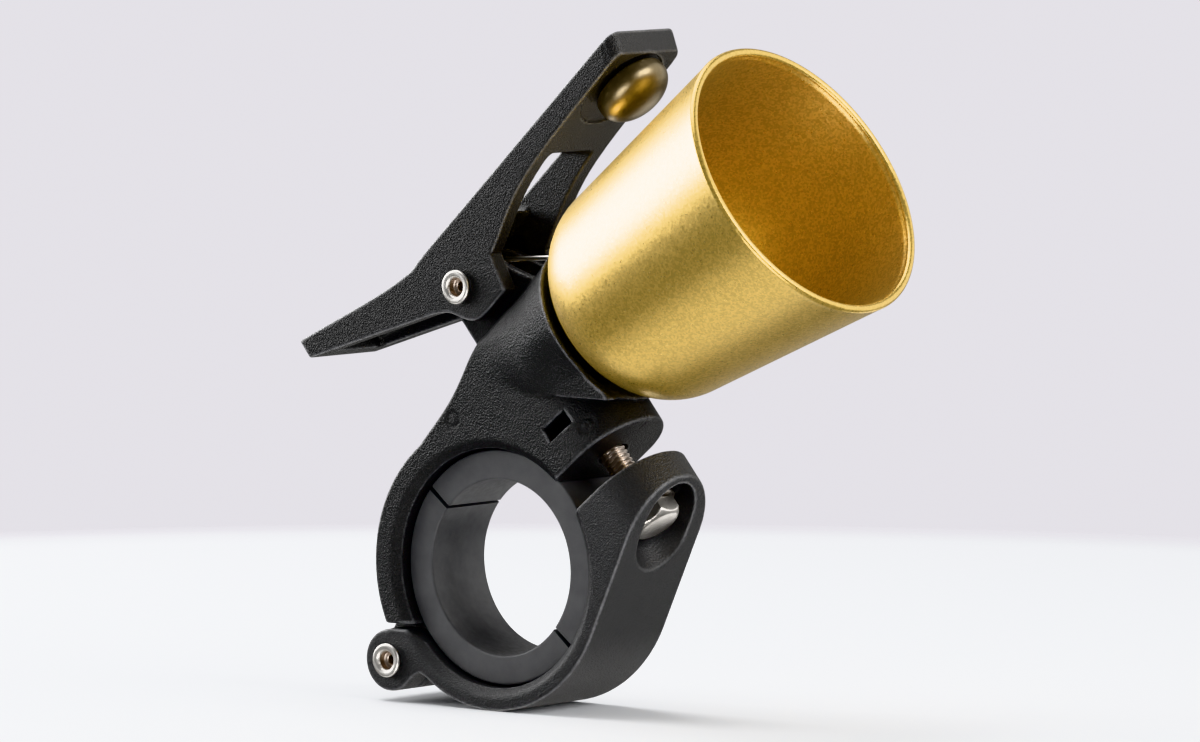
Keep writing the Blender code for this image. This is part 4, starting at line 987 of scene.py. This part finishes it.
def strap_field(x, y, z):
    """The strap: its side view given the clamp's width, with twin knuckles and a deep counterbored ear."""
    wide = np.abs(y)
    out, up = BOLT.local(x, z)
    knuckle = np.hypot(x - HINGE[0], z - HINGE[1]) - KNUCKLE_RADIUS
    side = join(STRAP_SIDE(x, z), STRAP_ROOT(x, z), STRAP_ROOT_FILLET)
    side = join(side, knuckle, STRAP_KNUCKLE_FILLET)
    strap = raised(side, plan_depth(out, y), CLAMP_HALF, STRAP_EDGE)
    strap = cut(strap, clamp_bore(x, y, z), STRAP_BORE_EDGE)
    strap = cut(strap, np.maximum(CENTRE_GAP(x, z), wide - CENTRE_HALF - FIT), STRAP_GAP_EDGE)
    strap = cut(strap, pin_hole(x, z, HINGE, RIVET_RADIUS), HOLE_EDGE)
    strap = cut(strap, np.maximum(obround(out, y, BOLT_RADIUS + FIT), up), HOLE_EDGE)
    counterbore = np.maximum(obround(out, y, COUNTERBORE_RADIUS), up - COUNTERBORE_FLOOR)
    return cut(strap, counterbore, COUNTERBORE_EDGE)


def lever_outer(steps):
    """The lever's thumb side from the tail's tip to the arm's end, as a smooth curve."""
    return smooth_run([TAIL_TIP_TOP, TAIL_BEND, ARM_BEND, ARM_END_TOP], steps)


def lever_outline():
    """The lever's side view from its pivot: thumb side, arm's end, bell side, hub and tail underside."""
    arm = smooth_run([ARM_END_BELL, ARM_WAIST, ARM_NOTCH], 24)
    hub = smooth_run([HUB_NOSE, HUB_BOTTOM, HUB_REAR, TAIL_UNDER, TAIL_TIP_BELL], 16)
    return np.vstack((lever_outer(24), arm, hub))


def fork_outline():
    """The space between the lever's cheeks: a slot through the arm, the hub's fork and the tail's hollow."""
    web = offset_run(lever_outer(24), LEVER_WEB)
    inner = web[(web[:, 1] < WEB_END_Z) & (web[:, 0] > TAIL_TIP_BELL[0] + TAIL_TIP_WALL)]
    reach = 2 * LEVER_HALF
    end_x = inner[-1, 0]
    below = TAIL_TIP_BELL[1] - reach
    return np.vstack((inner, (end_x, WEB_END_Z), (end_x - reach, WEB_END_Z), (end_x - reach, FORK_TOP_Z),
                      (HUB_NOSE[0] + reach, FORK_TOP_Z), (HUB_NOSE[0] + reach, below),
                      (inner[0, 0] + TAIL_TIP_WALL, below)))


LEVER_EDGE = 0.4
LEVER_END_EDGE = 0.4
ARM_FLANK_SLOPE = 0.6
FORK_CORNER = 0.9
FORK_EDGE = 0.35
SPOT_EDGE = 0.15
RECESS_RADIUS = 6.7
RECESS_DEPTH = 0.45
RECESS_STRETCH = (1.0, 1.7)
LEVER_SIDE = Outline(lever_outline())
FORK = Outline(fork_outline())
END_WAY = np.array((ARM_END_TOP[1] - ARM_END_BELL[1], ARM_END_BELL[0] - ARM_END_TOP[0]))
END_WAY = END_WAY / np.hypot(*END_WAY)
THUMB_X, THUMB_Z = ARM.local(*(PIVOT + lever_outer(24)).T)
WASHER_SEAT = float(np.interp(0.0, THUMB_X[::-1], THUMB_Z[::-1])) + SPOT_DEPTH
HOOK_PLACE = PIVOT + (-COIL_RADIUS * math.sin(HOOK_FALL) - SHORT_LEG * math.cos(HOOK_FALL),
                      COIL_RADIUS * math.cos(HOOK_FALL) - SHORT_LEG * math.sin(HOOK_FALL))


def lever_field(x, y, z):
    """The lever: its side view given its width, hollowed between the cheeks and rounded at the arm's end."""
    wide = np.abs(y)
    px, pz = x - PIVOT[0], z - PIVOT[1]
    down, bellward = ARM.local(x, z)
    lever = raised(LEVER_SIDE(px, pz), wide, LEVER_HALF, LEVER_EDGE)
    past = LEVER_CORNER + (px - ARM_END_TOP[0]) * END_WAY[0] + (pz - ARM_END_TOP[1]) * END_WAY[1]
    flank = wide - LEVER_HALF + LEVER_CORNER + ARM_FLANK_SLOPE * np.minimum(past, 0.0)
    plan = np.hypot(np.maximum(past, 0.0), np.maximum(flank, 0.0)) + np.minimum(np.maximum(past, flank), 0.0)
    lever = meet(lever, plan - LEVER_CORNER, LEVER_END_EDGE)
    lever = cut(lever, raised(FORK(px, pz), wide, FORK_HALF, FORK_CORNER), FORK_EDGE)
    lever = cut(lever, pin_hole(x, z, PIVOT, RIVET_RADIUS), HOLE_EDGE)
    shank = np.hypot(down, y)
    lever = cut(lever, shank - SHANK_RADIUS - FIT, SPOT_EDGE)
    lever = cut(lever, np.maximum(shank - HAMMER_WASHER_RADIUS - FIT, bellward - WASHER_SEAT), SPOT_EDGE)
    off_recess = np.hypot(down - np.clip(down, *RECESS_STRETCH), y) - RECESS_RADIUS
    lever = cut(lever, np.maximum(off_recess, -RECESS_DEPTH - bellward), SPOT_EDGE)
    hook_end = np.abs(y + (FORK_HALF + HOOK) / 2) - (FORK_HALF + HOOK) / 2
    hook = pin_hole(x, z, HOOK_PLACE, WIRE_RADIUS)
    return cut(lever, np.maximum(hook, hook_end), WIRE_HOLE_EDGE)


SKIN_STEP = 0.31
SKIN_MARGIN = 0.7
MOULDINGS = (
    ("base_moulding", body_field, "base_body", "base", NYLON),
    ("strap_moulding", strap_field, "clamp_strap", "strap", STRAP_NYLON),
    ("lever_moulding", lever_field, "striker_lever", "lever", FINE_NYLON),
)


def make_mouldings():
    """The base, the strap and the lever, each skinned over its field."""
    for name, field, node, body, finish in MOULDINGS:
        low, high = (np.array(corner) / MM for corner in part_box(node))
        points, faces, normals, edge = skin(field, low - SKIN_MARGIN, high + SKIN_MARGIN, SKIN_STEP)
        put_piece(name, points, faces, finish, body, "black_nylon", [node], normals, ("edge", edge))


# Cup, hammer and the other turned pieces

CUP_COLUMNS = 256
HAMMER_COLUMNS = 128
SMALL_COLUMNS = 96
RIM_TURN = 0.1
RIM_INSET = 0.02
RIM_GAP = 0.2
RIM_POINTS = 22
RIM_OUTSIDE_POINTS = 18
DOME_POWER = 0.92
HAMMER_BACK = 0.1
HAMMER_CORNER = 0.4
RIVET_STEM = 0.4
RIVET_MOUTH = 0.6
RIVET_MOUTH_SINK = 0.62
# The rivet's bore from its mouth inwards, as steps in from the bore's radius and below the flange
RIVET_STEPS = np.array(((0.0, 0.6), (0.03, 0.75), (0.32, 0.8), (0.6, 0.85), (0.66, 1.0), (0.66, 2.0)))


def cup_side(inset):
    """The cup's base round and wall, moved in by an inset: an arc of the base's radius, then a straight."""
    radius = BELL_ROUND - inset
    wall_radius = BELL_RIM - (BELL_LENGTH - BELL_ROUND) * math.tan(BELL_TAPER)
    centre = wall_radius - BELL_ROUND / math.cos(BELL_TAPER)
    bend = arc((centre, BELL_ROUND), radius, -math.pi / 2, -BELL_TAPER, 40)
    tip = np.array((BELL_RIM - inset / math.cos(BELL_TAPER), BELL_LENGTH))
    rise = np.linspace(0.0, 1.0, 70)[1:, None]
    return np.vstack((bend, bend[-1] + (tip - bend[-1]) * rise))


def make_cup():
    """The cup: outer side, a full round rim, and the inner side."""
    outer = cup_side(0.0)
    inner = cup_side(BELL_WALL)
    middle = (BELL_RIM - 0.5 * BELL_WALL - RIM_INSET, BELL_LENGTH - RIM_ROUND)
    outer = outer[outer[:, 1] < middle[1] - RIM_GAP]
    inner = inner[inner[:, 1] < middle[1] - RIM_GAP]
    rim = arc(middle, RIM_ROUND, -RIM_TURN, math.pi + RIM_TURN, RIM_POINTS)
    hole = SCREW_RADIUS + FIT
    flat_out = np.stack((np.linspace(hole, outer[0, 0], 6)[:-1], np.zeros(5)), axis=1)
    flat_in = np.stack((np.linspace(hole, inner[0, 0], 6)[:-1], np.full(5, BELL_WALL)), axis=1)
    profile = np.vstack((flat_out, outer, rim, inner[::-1], flat_in[::-1]))
    hollow = np.arange(len(profile)) >= len(flat_out) + len(outer) + RIM_OUTSIDE_POINTS
    put_piece("cup_shell", *turned(profile, BELL, CUP_COLUMNS), GOLD, "base", "gold_paint", ["bell_cup"],
              mark=("inside", np.repeat(hollow, CUP_COLUMNS)))


def make_hammer():
    """The hammer: a flattened dome with a rounded edge, its shank through the arm, clinched on the far side.

    The dome's radius is the cosine to a power a little under one, and its height is the sine.
    """
    low = FIT
    edge = low + HAMMER_EDGE
    angle = np.linspace(math.pi / 2, 0.0, 40)
    dome = np.stack((HAMMER_RADIUS * np.cos(angle)**DOME_POWER,
                     edge + (HAMMER_HEIGHT - HAMMER_EDGE) * np.sin(angle)), axis=1)
    clinch = WASHER_SEAT - 2 * FIT - HAMMER_WASHER_THICK
    back = soften([(HAMMER_RADIUS, edge), (HAMMER_RADIUS - HAMMER_BACK, low), (SHANK_RADIUS, low),
                   (SHANK_RADIUS, clinch), (CLINCH_RADIUS, clinch), (SHANK_RADIUS, clinch - CLINCH_HEIGHT),
                   (0.0, clinch - CLINCH_HEIGHT)], HAMMER_CORNER, closed=False)
    surface = turned(np.vstack((dome[:-1], back)), ARM, HAMMER_COLUMNS, closed=False)
    put_piece("hammer_dome", *surface, BRASS, "lever", "polished_brass", ["hammer"])


def make_rivet(name, place, half_grip, body, node):
    """A hollow rivet: a tube whose ends are rolled out into round flanges over a stepped bore."""
    low = half_grip + FIT
    roll = RIVET_FLANGE_THICK / 2
    lip = arc((RIVET_FLANGE - roll, low + roll), roll, -math.pi / 2, math.pi / 2, 14)
    mouth_place = (RIVET_BORE + RIVET_MOUTH, low + RIVET_FLANGE_THICK - RIVET_MOUTH_SINK)
    mouth = arc(mouth_place, RIVET_MOUTH, math.pi / 2, math.pi, 14)
    bore = (RIVET_BORE, low) - RIVET_STEPS
    half = np.vstack(((RIVET_RADIUS, low - RIVET_STEM), (RIVET_RADIUS, low), lip, mouth, bore))
    hollow = np.arange(len(half)) >= len(lip) + len(mouth)
    profile = np.vstack((half, half[::-1] * (1, -1)))
    inside = np.repeat(np.concatenate((hollow, hollow[::-1])), SMALL_COLUMNS)
    put_piece(name, *turned(profile, Across(place), SMALL_COLUMNS), NICKEL, body, "nickel_plate", [node],
              mark=("inside", inside))


def make_ring(name, bore, radius, low, high, place, material, body, slot, node, edge=RING_EDGE):
    """A turned ring with eased edges, such as a washer, a sleeve or an insert."""
    profile = soften([(radius, high), (radius, low), (bore, low), (bore, high)], edge)
    put_piece(name, *turned(profile, place, SMALL_COLUMNS), material, body, slot, [node])


# The bolt head's top, as shares of half its flats and depths below the top, the chamfer and the foot
HEAD_TOP = np.array(((0.0, 0.0), (0.5, 0.0), (0.74, 0.0), (0.82, 0.03)))
CHAMFER_RISE = np.linspace(0.06, 1.05, 14)
CHAMFER_SHARE = 0.80
CHAMFER_GROWTH = 0.37
CHAMFER_END = 1.2
HEAD_FOOT = np.array(((1.0, 0.35), (0.995, 0.08), (0.97, 0.0)))
HEAD_FACE = 3.0
STEM_ROUND = 0.2
STEM_START = 0.25
THREAD_END = 0.5
THREAD_STEPS = 8
RIDGE_SLOPE = 2.6
RIDGE_FLAT = 0.15
# Share of the metal's darker, browner hollow colour on the thread rows: painted shade in the thread.
THREAD_SHADE = 0.7
BOLT_POINT = ((0.35, 0.4), (0.6, 0.0))


def make_clamp_bolt():
    """A hex bolt: rows down one surface whose radius is a hexagon under a cone at the head, then a thread.

    The cone's radius grows with the root of the depth. The thread's radius is the bolt's, less a rounded
    ridge wave of height over pitch minus turn.
    """
    angle = circle(SMALL_COLUMNS)
    half_flats = HEAD_FLATS / 2
    hexagon = polygon_radius(angle, 6, half_flats)
    head_top = BOLT_SEAT - HEAD_HEIGHT
    top = [(share * half_flats, head_top + depth) for share, depth in HEAD_TOP]
    growth = CHAMFER_GROWTH * np.sqrt(CHAMFER_RISE / CHAMFER_RISE[-1])
    chamfer = np.minimum(hexagon[None, :], half_flats * (CHAMFER_SHARE + growth)[:, None])
    chamfer = list(zip(chamfer, head_top + CHAMFER_RISE))
    foot = [(hexagon * share, BOLT_SEAT - height) for share, height in HEAD_FOOT]
    head = [*top, *chamfer, (hexagon, head_top + CHAMFER_END), *foot]
    stem = BOLT_RADIUS - THREAD_EASE
    neck = [(HEAD_FACE, BOLT_SEAT), (BOLT_RADIUS + STEM_ROUND, BOLT_SEAT), (stem, BOLT_SEAT + STEM_START)]
    run = np.arange(BOLT_SEAT + THREAD_START, BOLT_TIP - THREAD_END, THREAD_PITCH / THREAD_STEPS)
    wave = (run[:, None] / THREAD_PITCH - angle[None, :] / TURN) % 1.0
    ridge = np.clip(RIDGE_SLOPE * np.abs(wave - 0.5) - RIDGE_FLAT, 0.0, 1.0)
    fade = ramp(run, BOLT_SEAT + THREAD_START, BOLT_SEAT + THREAD_FULL)[:, None]
    thread = zip(stem - THREAD_DEPTH * fade * (1 - ridge), run)
    tip = [(BOLT_RADIUS - inset, BOLT_TIP - height) for inset, height in BOLT_POINT]
    rows = [*head, *neck, *thread, *tip, (0.0, BOLT_TIP)]
    # The thread rows are marked for the darker hollow colour: painted shade.
    threaded = np.repeat(np.arange(len(rows)) >= len(head), SMALL_COLUMNS)
    piece = put_piece("hex_bolt", *rows_round(rows, angle, BOLT), ZINC, "bolt", "zinc_steel", ["clamp_bolt"],
                      mark=("inside", THREAD_SHADE * threaded))
    piece.data.set_sharp_from_angle(angle=HEAD_CREASE)


def make_nut():
    """A square nut: rows round a closed loop, square outside with its corners cut, round inside."""
    angle = circle(SMALL_COLUMNS, 0.5)
    square = np.minimum(polygon_radius(angle, 4, NUT_HALF), NUT_HALF * NUT_CORNER)
    eased = square * NUT_CHAMFER
    bore = BOLT_RADIUS + FIT
    mouth = bore + NUT_MOUTH
    rows = [(eased, NUT_BOTTOM), (square, NUT_BOTTOM + NUT_EDGE), (square, NUT_TOP - NUT_EDGE),
            (eased, NUT_TOP), (mouth, NUT_TOP), (bore, NUT_TOP - NUT_MOUTH_DEPTH),
            (bore, NUT_BOTTOM + NUT_MOUTH_DEPTH), (mouth, NUT_BOTTOM)]
    piece = put_piece("square_nut", *rows_round(rows, angle, BOLT, closed=True), ZINC, "base", "zinc_steel",
                      ["clamp_nut"])
    piece.data.set_sharp_from_angle(angle=HEAD_CREASE)


def make_bell_screw():
    """A button-head screw: shank, domed head and a hexagon socket, as rows of one closed surface.

    The dome is a quarter of an ellipse.
    """
    angle = circle(SMALL_COLUMNS)
    hexagon = polygon_radius(angle, 6, SOCKET_FLATS / 2)
    top = SCREW_SEAT + SCREW_HEAD_HEIGHT
    bend = np.linspace(0.0, math.pi / 2, 14)
    dome = zip(SCREW_HEAD_RADIUS - SCREW_DOME_IN * (1 - np.cos(bend)),
               SCREW_SEAT + SCREW_BRIM + (SCREW_HEAD_HEIGHT - SCREW_BRIM) * np.sin(bend))
    floor = top - SOCKET_DEPTH
    rows = [(0.0, -SCREW_REACH), (SCREW_RADIUS - SCREW_POINT, -SCREW_REACH),
            (SCREW_RADIUS, -SCREW_REACH + SCREW_POINT), (SCREW_RADIUS, SCREW_SEAT - SCREW_LEAD),
            (SCREW_RADIUS, SCREW_SEAT), (SCREW_HEAD_RADIUS - SCREW_EDGE, SCREW_SEAT),
            (SCREW_HEAD_RADIUS, SCREW_SEAT + SCREW_EDGE), *dome, (hexagon * SOCKET_EASE, top),
            (hexagon, top - SCREW_LEAD), (hexagon, floor), (0.0, floor)]
    piece = put_piece("button_screw", *rows_round(rows, angle, BELL), ZINC, "base", "zinc_steel",
                      ["bell_screw"])
    piece.data.set_sharp_from_angle(angle=HEAD_CREASE)


def make_lock_washer():
    """A split ring: a softened rectangle carried round an arc that leaves a narrow gap."""
    inner = SCREW_RADIUS + FIT
    section = rectangle((LOCK_RADIUS - inner) / 2, LOCK_THICK / 2, RING_EDGE)
    angle = np.linspace(LOCK_HALF_GAP, TURN - LOCK_HALF_GAP, 90)
    radial = np.stack((np.cos(angle), np.sin(angle), 0 * angle), axis=1)
    axis = np.broadcast_to((0.0, 0.0, 1.0), radial.shape)
    path = radial * (inner + LOCK_RADIUS) / 2 + axis * (LOCK_LOW + LOCK_THICK / 2)
    points, faces = swept(section, path, radial, axis)
    put_piece("split_lock_washer", BELL.world(points), faces, ZINC, "base", "zinc_steel",
              ["bell_lock_washer"])


def make_liners():
    """Two half rings: a softened rectangle of the wall by the width, carried round half a circle."""
    middle = (BAR_RADIUS + SHIM_RADIUS) / 2
    section = rectangle((SHIM_RADIUS - BAR_RADIUS) / 2, SHIM_HALF, LINER_EDGE)
    trim = math.asin(SHIM_GAP / 2 / middle)
    for name, turn, node in (("upper_liner", 0.0, "shim_upper"), ("lower_liner", math.pi, "shim_lower")):
        start = SHIM_SPLIT + turn - math.pi
        angle = np.linspace(start + trim, start + math.pi - trim, 120)
        radial = np.stack((np.cos(angle), 0 * angle, np.sin(angle)), axis=1)
        along = np.broadcast_to((0.0, 1.0, 0.0), radial.shape)
        points, faces = swept(section, middle * radial, radial, along)
        piece = put_piece(name, points, faces, LINER, "base", "grey_nylon", [node])
        piece.data.set_sharp_from_angle(angle=LINER_CREASE)


def make_spring():
    """The return spring: a round wire carried along hook, bend, short leg, helix and long leg.

    The helix turns clockwise seen from the front, at a steady pitch from front to back. It winds up between
    the long leg, which the base holds, and the hook, which follows the lever.
    """
    bend_radius = 2 * WIRE_RADIUS
    leg_way = np.array((math.cos(HOOK_FALL), 0.0, math.sin(HOOK_FALL)))
    front = np.array((0.0, -1.0, 0.0))
    coil_turn = np.linspace(0.0, 1.0, 64 * COIL_TURNS)
    angle = math.pi / 2 + HOOK_FALL - coil_turn * COIL_SWEEP
    coil = np.stack((PIVOT[0] + COIL_RADIUS * np.cos(angle), COIL_HALF * (2 * coil_turn - 1),
                     PIVOT[1] + COIL_RADIUS * np.sin(angle)), axis=1)
    corner = np.array((HOOK_PLACE[0], -COIL_HALF, HOOK_PLACE[1]))
    quarter = np.linspace(0.0, math.pi / 2, 14)[:, None]
    centre = corner + bend_radius * (leg_way + front)
    bend = centre - bend_radius * (np.cos(quarter) * leg_way + np.sin(quarter) * front)
    tip = corner + front * (FORK_HALF + HOOK - FIT - COIL_HALF)
    hook = np.linspace(tip, bend[0], 8, endpoint=False)
    short = np.linspace(bend[-1], coil[0], 8, endpoint=False)[1:]
    leg_end = coil[-1] + LONG_LEG * np.array((math.cos(LEG_RISE), 0.0, math.sin(LEG_RISE)))
    leg = np.linspace(coil[-1], leg_end, 12)[1:]
    path = np.vstack((hook, bend, short, coil, leg))
    side = np.vstack((np.repeat(leg_way[None], len(hook), axis=0),
                      np.cos(quarter) * leg_way + np.sin(quarter) * front,
                      np.repeat(-front[None], len(short) + len(coil) + len(leg), axis=0)))
    tangent = np.gradient(path, axis=0)
    tangent /= np.linalg.norm(tangent, axis=1)[:, None]
    across = np.cross(tangent, side)
    across /= np.linalg.norm(across, axis=1)[:, None]
    up = np.cross(across, tangent)
    ring = arc((0, 0), WIRE_RADIUS, 0, TURN, 17)[:-1]
    points, faces = swept(ring, path, across, up)
    piece = put_piece("spring_wire", points, faces, ZINC, None, "zinc_steel", ["return_spring"])
    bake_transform(piece)


make_mouldings()
make_cup()
make_hammer()
make_rivet("pivot_rivet_tube", PIVOT, LEVER_HALF, "lever", "lever_pivot_rivet")
make_rivet("hinge_rivet_tube", HINGE, CLAMP_HALF, "strap", "hinge_rivet")
make_ring("pivot_spacer", SLEEVE_BORE, SLEEVE_RADIUS, -LUG_OUTER, LUG_OUTER, Across(PIVOT), ZINC, "lever",
          "zinc_steel", "pivot_sleeve")
make_ring("bolt_flat_washer", BOLT_RADIUS + FIT, BOLT_WASHER_RADIUS, BOLT_WASHER_LOW, BOLT_WASHER_HIGH, BOLT,
          ZINC, "bolt", "zinc_steel", "clamp_bolt_washer")
make_ring("cup_damper", INSERT_RADIUS + FIT, DAMPER_RADIUS, DAMPER_LOW, DAMPER_HIGH, BELL, RUBBER, "base",
          "black_rubber", "bell_damping_washer", DAMPER_EDGE)
make_ring("cup_flat_washer", SCREW_RADIUS + FIT, CUP_WASHER_RADIUS, CUP_WASHER_LOW, CUP_WASHER_HIGH, BELL,
          ZINC, "base", "zinc_steel", "bell_inner_washer")
make_ring("seat_insert", SCREW_RADIUS + FIT, INSERT_RADIUS, INSERT_LOW, INSERT_HIGH, BELL, BRASS, "base",
          "polished_brass", "bell_insert")
make_ring("hammer_flat_washer", SHANK_RADIUS + FIT, HAMMER_WASHER_RADIUS,
          WASHER_SEAT - FIT - HAMMER_WASHER_THICK, WASHER_SEAT - FIT, ARM, ZINC, "lever", "zinc_steel",
          "hammer_washer")
make_clamp_bolt()
make_nut()
make_bell_screw()
make_lock_washer()
make_liners()
make_spring()


# Studio: a pale round table, a plain backdrop, soft boxes and the camera

VIEW_AZIMUTH = math.radians(38.7)
VIEW_ELEVATION = math.radians(4.69)
VIEW_DISTANCE = 1420.0
VIEW_AIM = np.array((13.85, -0.534, 28.55))
LENS_MM = 299.2
SENSOR_MM = 36.0
FLOOR_Z = -20.43
TABLE_RADIUS = 330.0
TABLE_RINGS = 12
TABLE_FADE = (240.0, 274.0)
LIGHT_AIM = np.array((12.0, 0.0, 40.0))
ROOM_TINT = (0.95, 0.96, 1.0)
ROOM_LIGHT = 0.3
WALL_TINT = (0.83, 0.81, 0.86)
GLOSS_TINT = (1.0, 0.99, 0.97)
ROOM_DIM = 0.16
# Bright patches that gloss sees beside the lights: the way there as seen by the camera, to the right, up and
# towards it, then the cosines of the patch's soft edge and its brightness
GLOSS_PATCHES = (
    (-0.33, -0.94, -0.06, 0.86, 0.985, 0.8),
    (0.0, 0.1, -1.0, 0.72, 0.97, 0.2),
    (-0.29, -0.70, -0.66, 0.945, 0.985, 2.2),
    (0.9, 0.25, -0.25, 0.72, 0.93, 1.1),
    (0.45, -0.60, -0.66, 0.955, 0.988, 1.4),
    (0.0, -0.55, 0.83, 0.92, 0.97, 6.0),
)


def make_table():
    """A flat disc: rings of points at growing radii below the bar's centre, seen through at its rim."""
    rows = [(r, FLOOR_Z) for r in np.linspace(0.0, TABLE_RADIUS, TABLE_RINGS)]
    points, faces = turned(rows, Frame((0.0, 0.0), (0.0, 1.0)), SMALL_COLUMNS, closed=False)
    mesh = bpy.data.meshes.new("table")
    mesh.from_pydata((points * MM).tolist(), [], faces.tolist())
    mesh.validate()
    finish = Finish("pale_table", (0.86, 0.87, 0.89), roughness=0.7, specular=0.2)
    spot = finish.node("VectorMath", Vector=finish.place)
    spot.operation = "LENGTH"
    fade = finish.node("MapRange", Value=spot.outputs["Value"], From_Min=TABLE_FADE[0] * MM,
                       From_Max=TABLE_FADE[1] * MM, To_Min=1.0, To_Max=0.0)
    fade.interpolation_type = "SMOOTHSTEP"
    finish.drive("Alpha", fade.outputs["Result"])
    mesh.materials.append(finish.material)
    table = bpy.data.objects.new("table", mesh)
    table.visible_glossy = False
    bpy.context.scene.collection.objects.link(table)


def view_way(right, up, back):
    """A direction given as seen by the camera: to the right, up and towards it."""
    a = VIEW_AZIMUTH
    across = np.array((math.cos(a), math.sin(a), 0.0))
    towards = np.array((math.sin(a), -math.cos(a), 0.0))
    return right * across + up * np.array((0.0, 0.0, 1.0)) + back * towards


def make_backdrop():
    """The studio round the table: pale to the camera, even as light, and a plan of bright and dark in gloss.

    What gloss sees is a dim room plus soft-edged round patches, each a smooth step of the cosine between the
    way looked and the way to its middle.
    """
    world = bpy.data.worlds.new("studio")
    bpy.context.scene.world = world
    world.use_nodes = True
    tree = world.node_tree
    way = tree.nodes.new("ShaderNodeTexCoord").outputs["Generated"]
    path = tree.nodes.new("ShaderNodeLightPath")

    def patch(direction, low, high, bright):
        """A bright round patch with a soft edge."""
        dot = tree.nodes.new("ShaderNodeVectorMath")
        dot.operation = "DOT_PRODUCT"
        dot.inputs[1].default_value = tuple(direction)
        tree.links.new(way, dot.inputs[0])
        step = tree.nodes.new("ShaderNodeMapRange")
        step.interpolation_type = "SMOOTHSTEP"
        for name, value in (("From Min", low), ("From Max", high), ("To Min", 0.0), ("To Max", bright)):
            step.inputs[name].default_value = value
        tree.links.new(dot.outputs["Value"], step.inputs["Value"])
        return step.outputs["Result"]

    def backdrop(colour, strength):
        """A plain surround of one colour."""
        shade = tree.nodes.new("ShaderNodeBackground")
        shade.inputs["Color"].default_value = (*colour, 1.0)
        feed(tree, strength, shade.inputs["Strength"])
        return shade.outputs["Background"]

    def choose(ray, other, chosen):
        """One surround for a kind of ray, and another for the rest."""
        mix = tree.nodes.new("ShaderNodeMixShader")
        for value, socket in zip((path.outputs[ray], other, chosen), mix.inputs):
            tree.links.new(value, socket)
        return mix.outputs["Shader"]

    total = ROOM_DIM
    for right, up, toward, low, high, bright in GLOSS_PATCHES:
        way_there = view_way(right, up, toward)
        add = tree.nodes.new("ShaderNodeMath")
        feed(tree, total, add.inputs[0])
        feed(tree, patch(way_there / np.linalg.norm(way_there), low, high, bright), add.inputs[1])
        total = add.outputs["Value"]
    seen = choose("Is Glossy Ray", backdrop(ROOM_TINT, ROOM_LIGHT), backdrop(GLOSS_TINT, total))
    seen = choose("Is Camera Ray", seen, backdrop(WALL_TINT, 1.0))
    tree.links.new(seen, tree.nodes["World Output"].inputs["Surface"])


def soft_box(name, way, distance, width, height, watts, only=(), gloss_only=False):
    """An area light some way off in a direction from the object, facing it, for all or some pieces."""
    light = bpy.data.lights.new(name, "AREA")
    light.shape = "RECTANGLE"
    light.size, light.size_y = width * MM, height * MM
    light.energy = watts
    box = bpy.data.objects.new(name, light)
    way = way / np.linalg.norm(way)
    box.location = (LIGHT_AIM + way * distance) * MM
    box.rotation_euler = Vector(way).to_track_quat("Z", "Y").to_euler()
    box.visible_camera = False
    box.visible_diffuse = not gloss_only
    if only:
        lit = bpy.data.collections.new(name + "_lit")
        for piece in only:
            lit.objects.link(bpy.data.objects[piece])
        box.light_linking.receiver_collection = lit
    bpy.context.scene.collection.objects.link(box)


def make_camera():
    """A long lens at a distance behind the aim, turned to face it."""
    camera = bpy.data.cameras.new("photo_view")
    camera.sensor_width = SENSOR_MM
    camera.lens = LENS_MM
    camera.clip_start, camera.clip_end = 0.01, 20.0
    eye = bpy.data.objects.new("photo_view", camera)
    a, e = VIEW_AZIMUTH, VIEW_ELEVATION
    back = np.array((math.sin(a) * math.cos(e), -math.cos(a) * math.cos(e), math.sin(e)))
    eye.location = (VIEW_AIM + back * VIEW_DISTANCE) * MM
    eye.rotation_euler = Vector(back).to_track_quat("Z", "Y").to_euler()
    bpy.context.scene.collection.objects.link(eye)
    bpy.context.scene.camera = eye


make_table()
make_backdrop()
soft_box("left_box", view_way(-1.0, 0.22, -0.42), distance=420.0, width=420.0, height=200.0, watts=1.6)
soft_box("gold_box", view_way(-1.0, 0.21, -0.40), distance=420.0, width=260.0, height=140.0, watts=5.0,
         only=("cup_shell",), gloss_only=True)
soft_box("neck_box", view_way(-0.55, 0.33, -0.77), distance=420.0, width=200.0, height=200.0, watts=0.8,
         only=("base_moulding", "strap_moulding", "lever_moulding"))
soft_box("top_box", view_way(-0.3, 1.0, -0.3), distance=480.0, width=420.0, height=420.0, watts=2.9)
soft_box("right_box", view_way(0.85, 0.45, 0.6), distance=520.0, width=300.0, height=300.0, watts=2.4)
make_camera()
bpy.context.scene.view_settings.view_transform = "Khronos PBR Neutral"
bpy.context.scene.view_settings.look = "None"
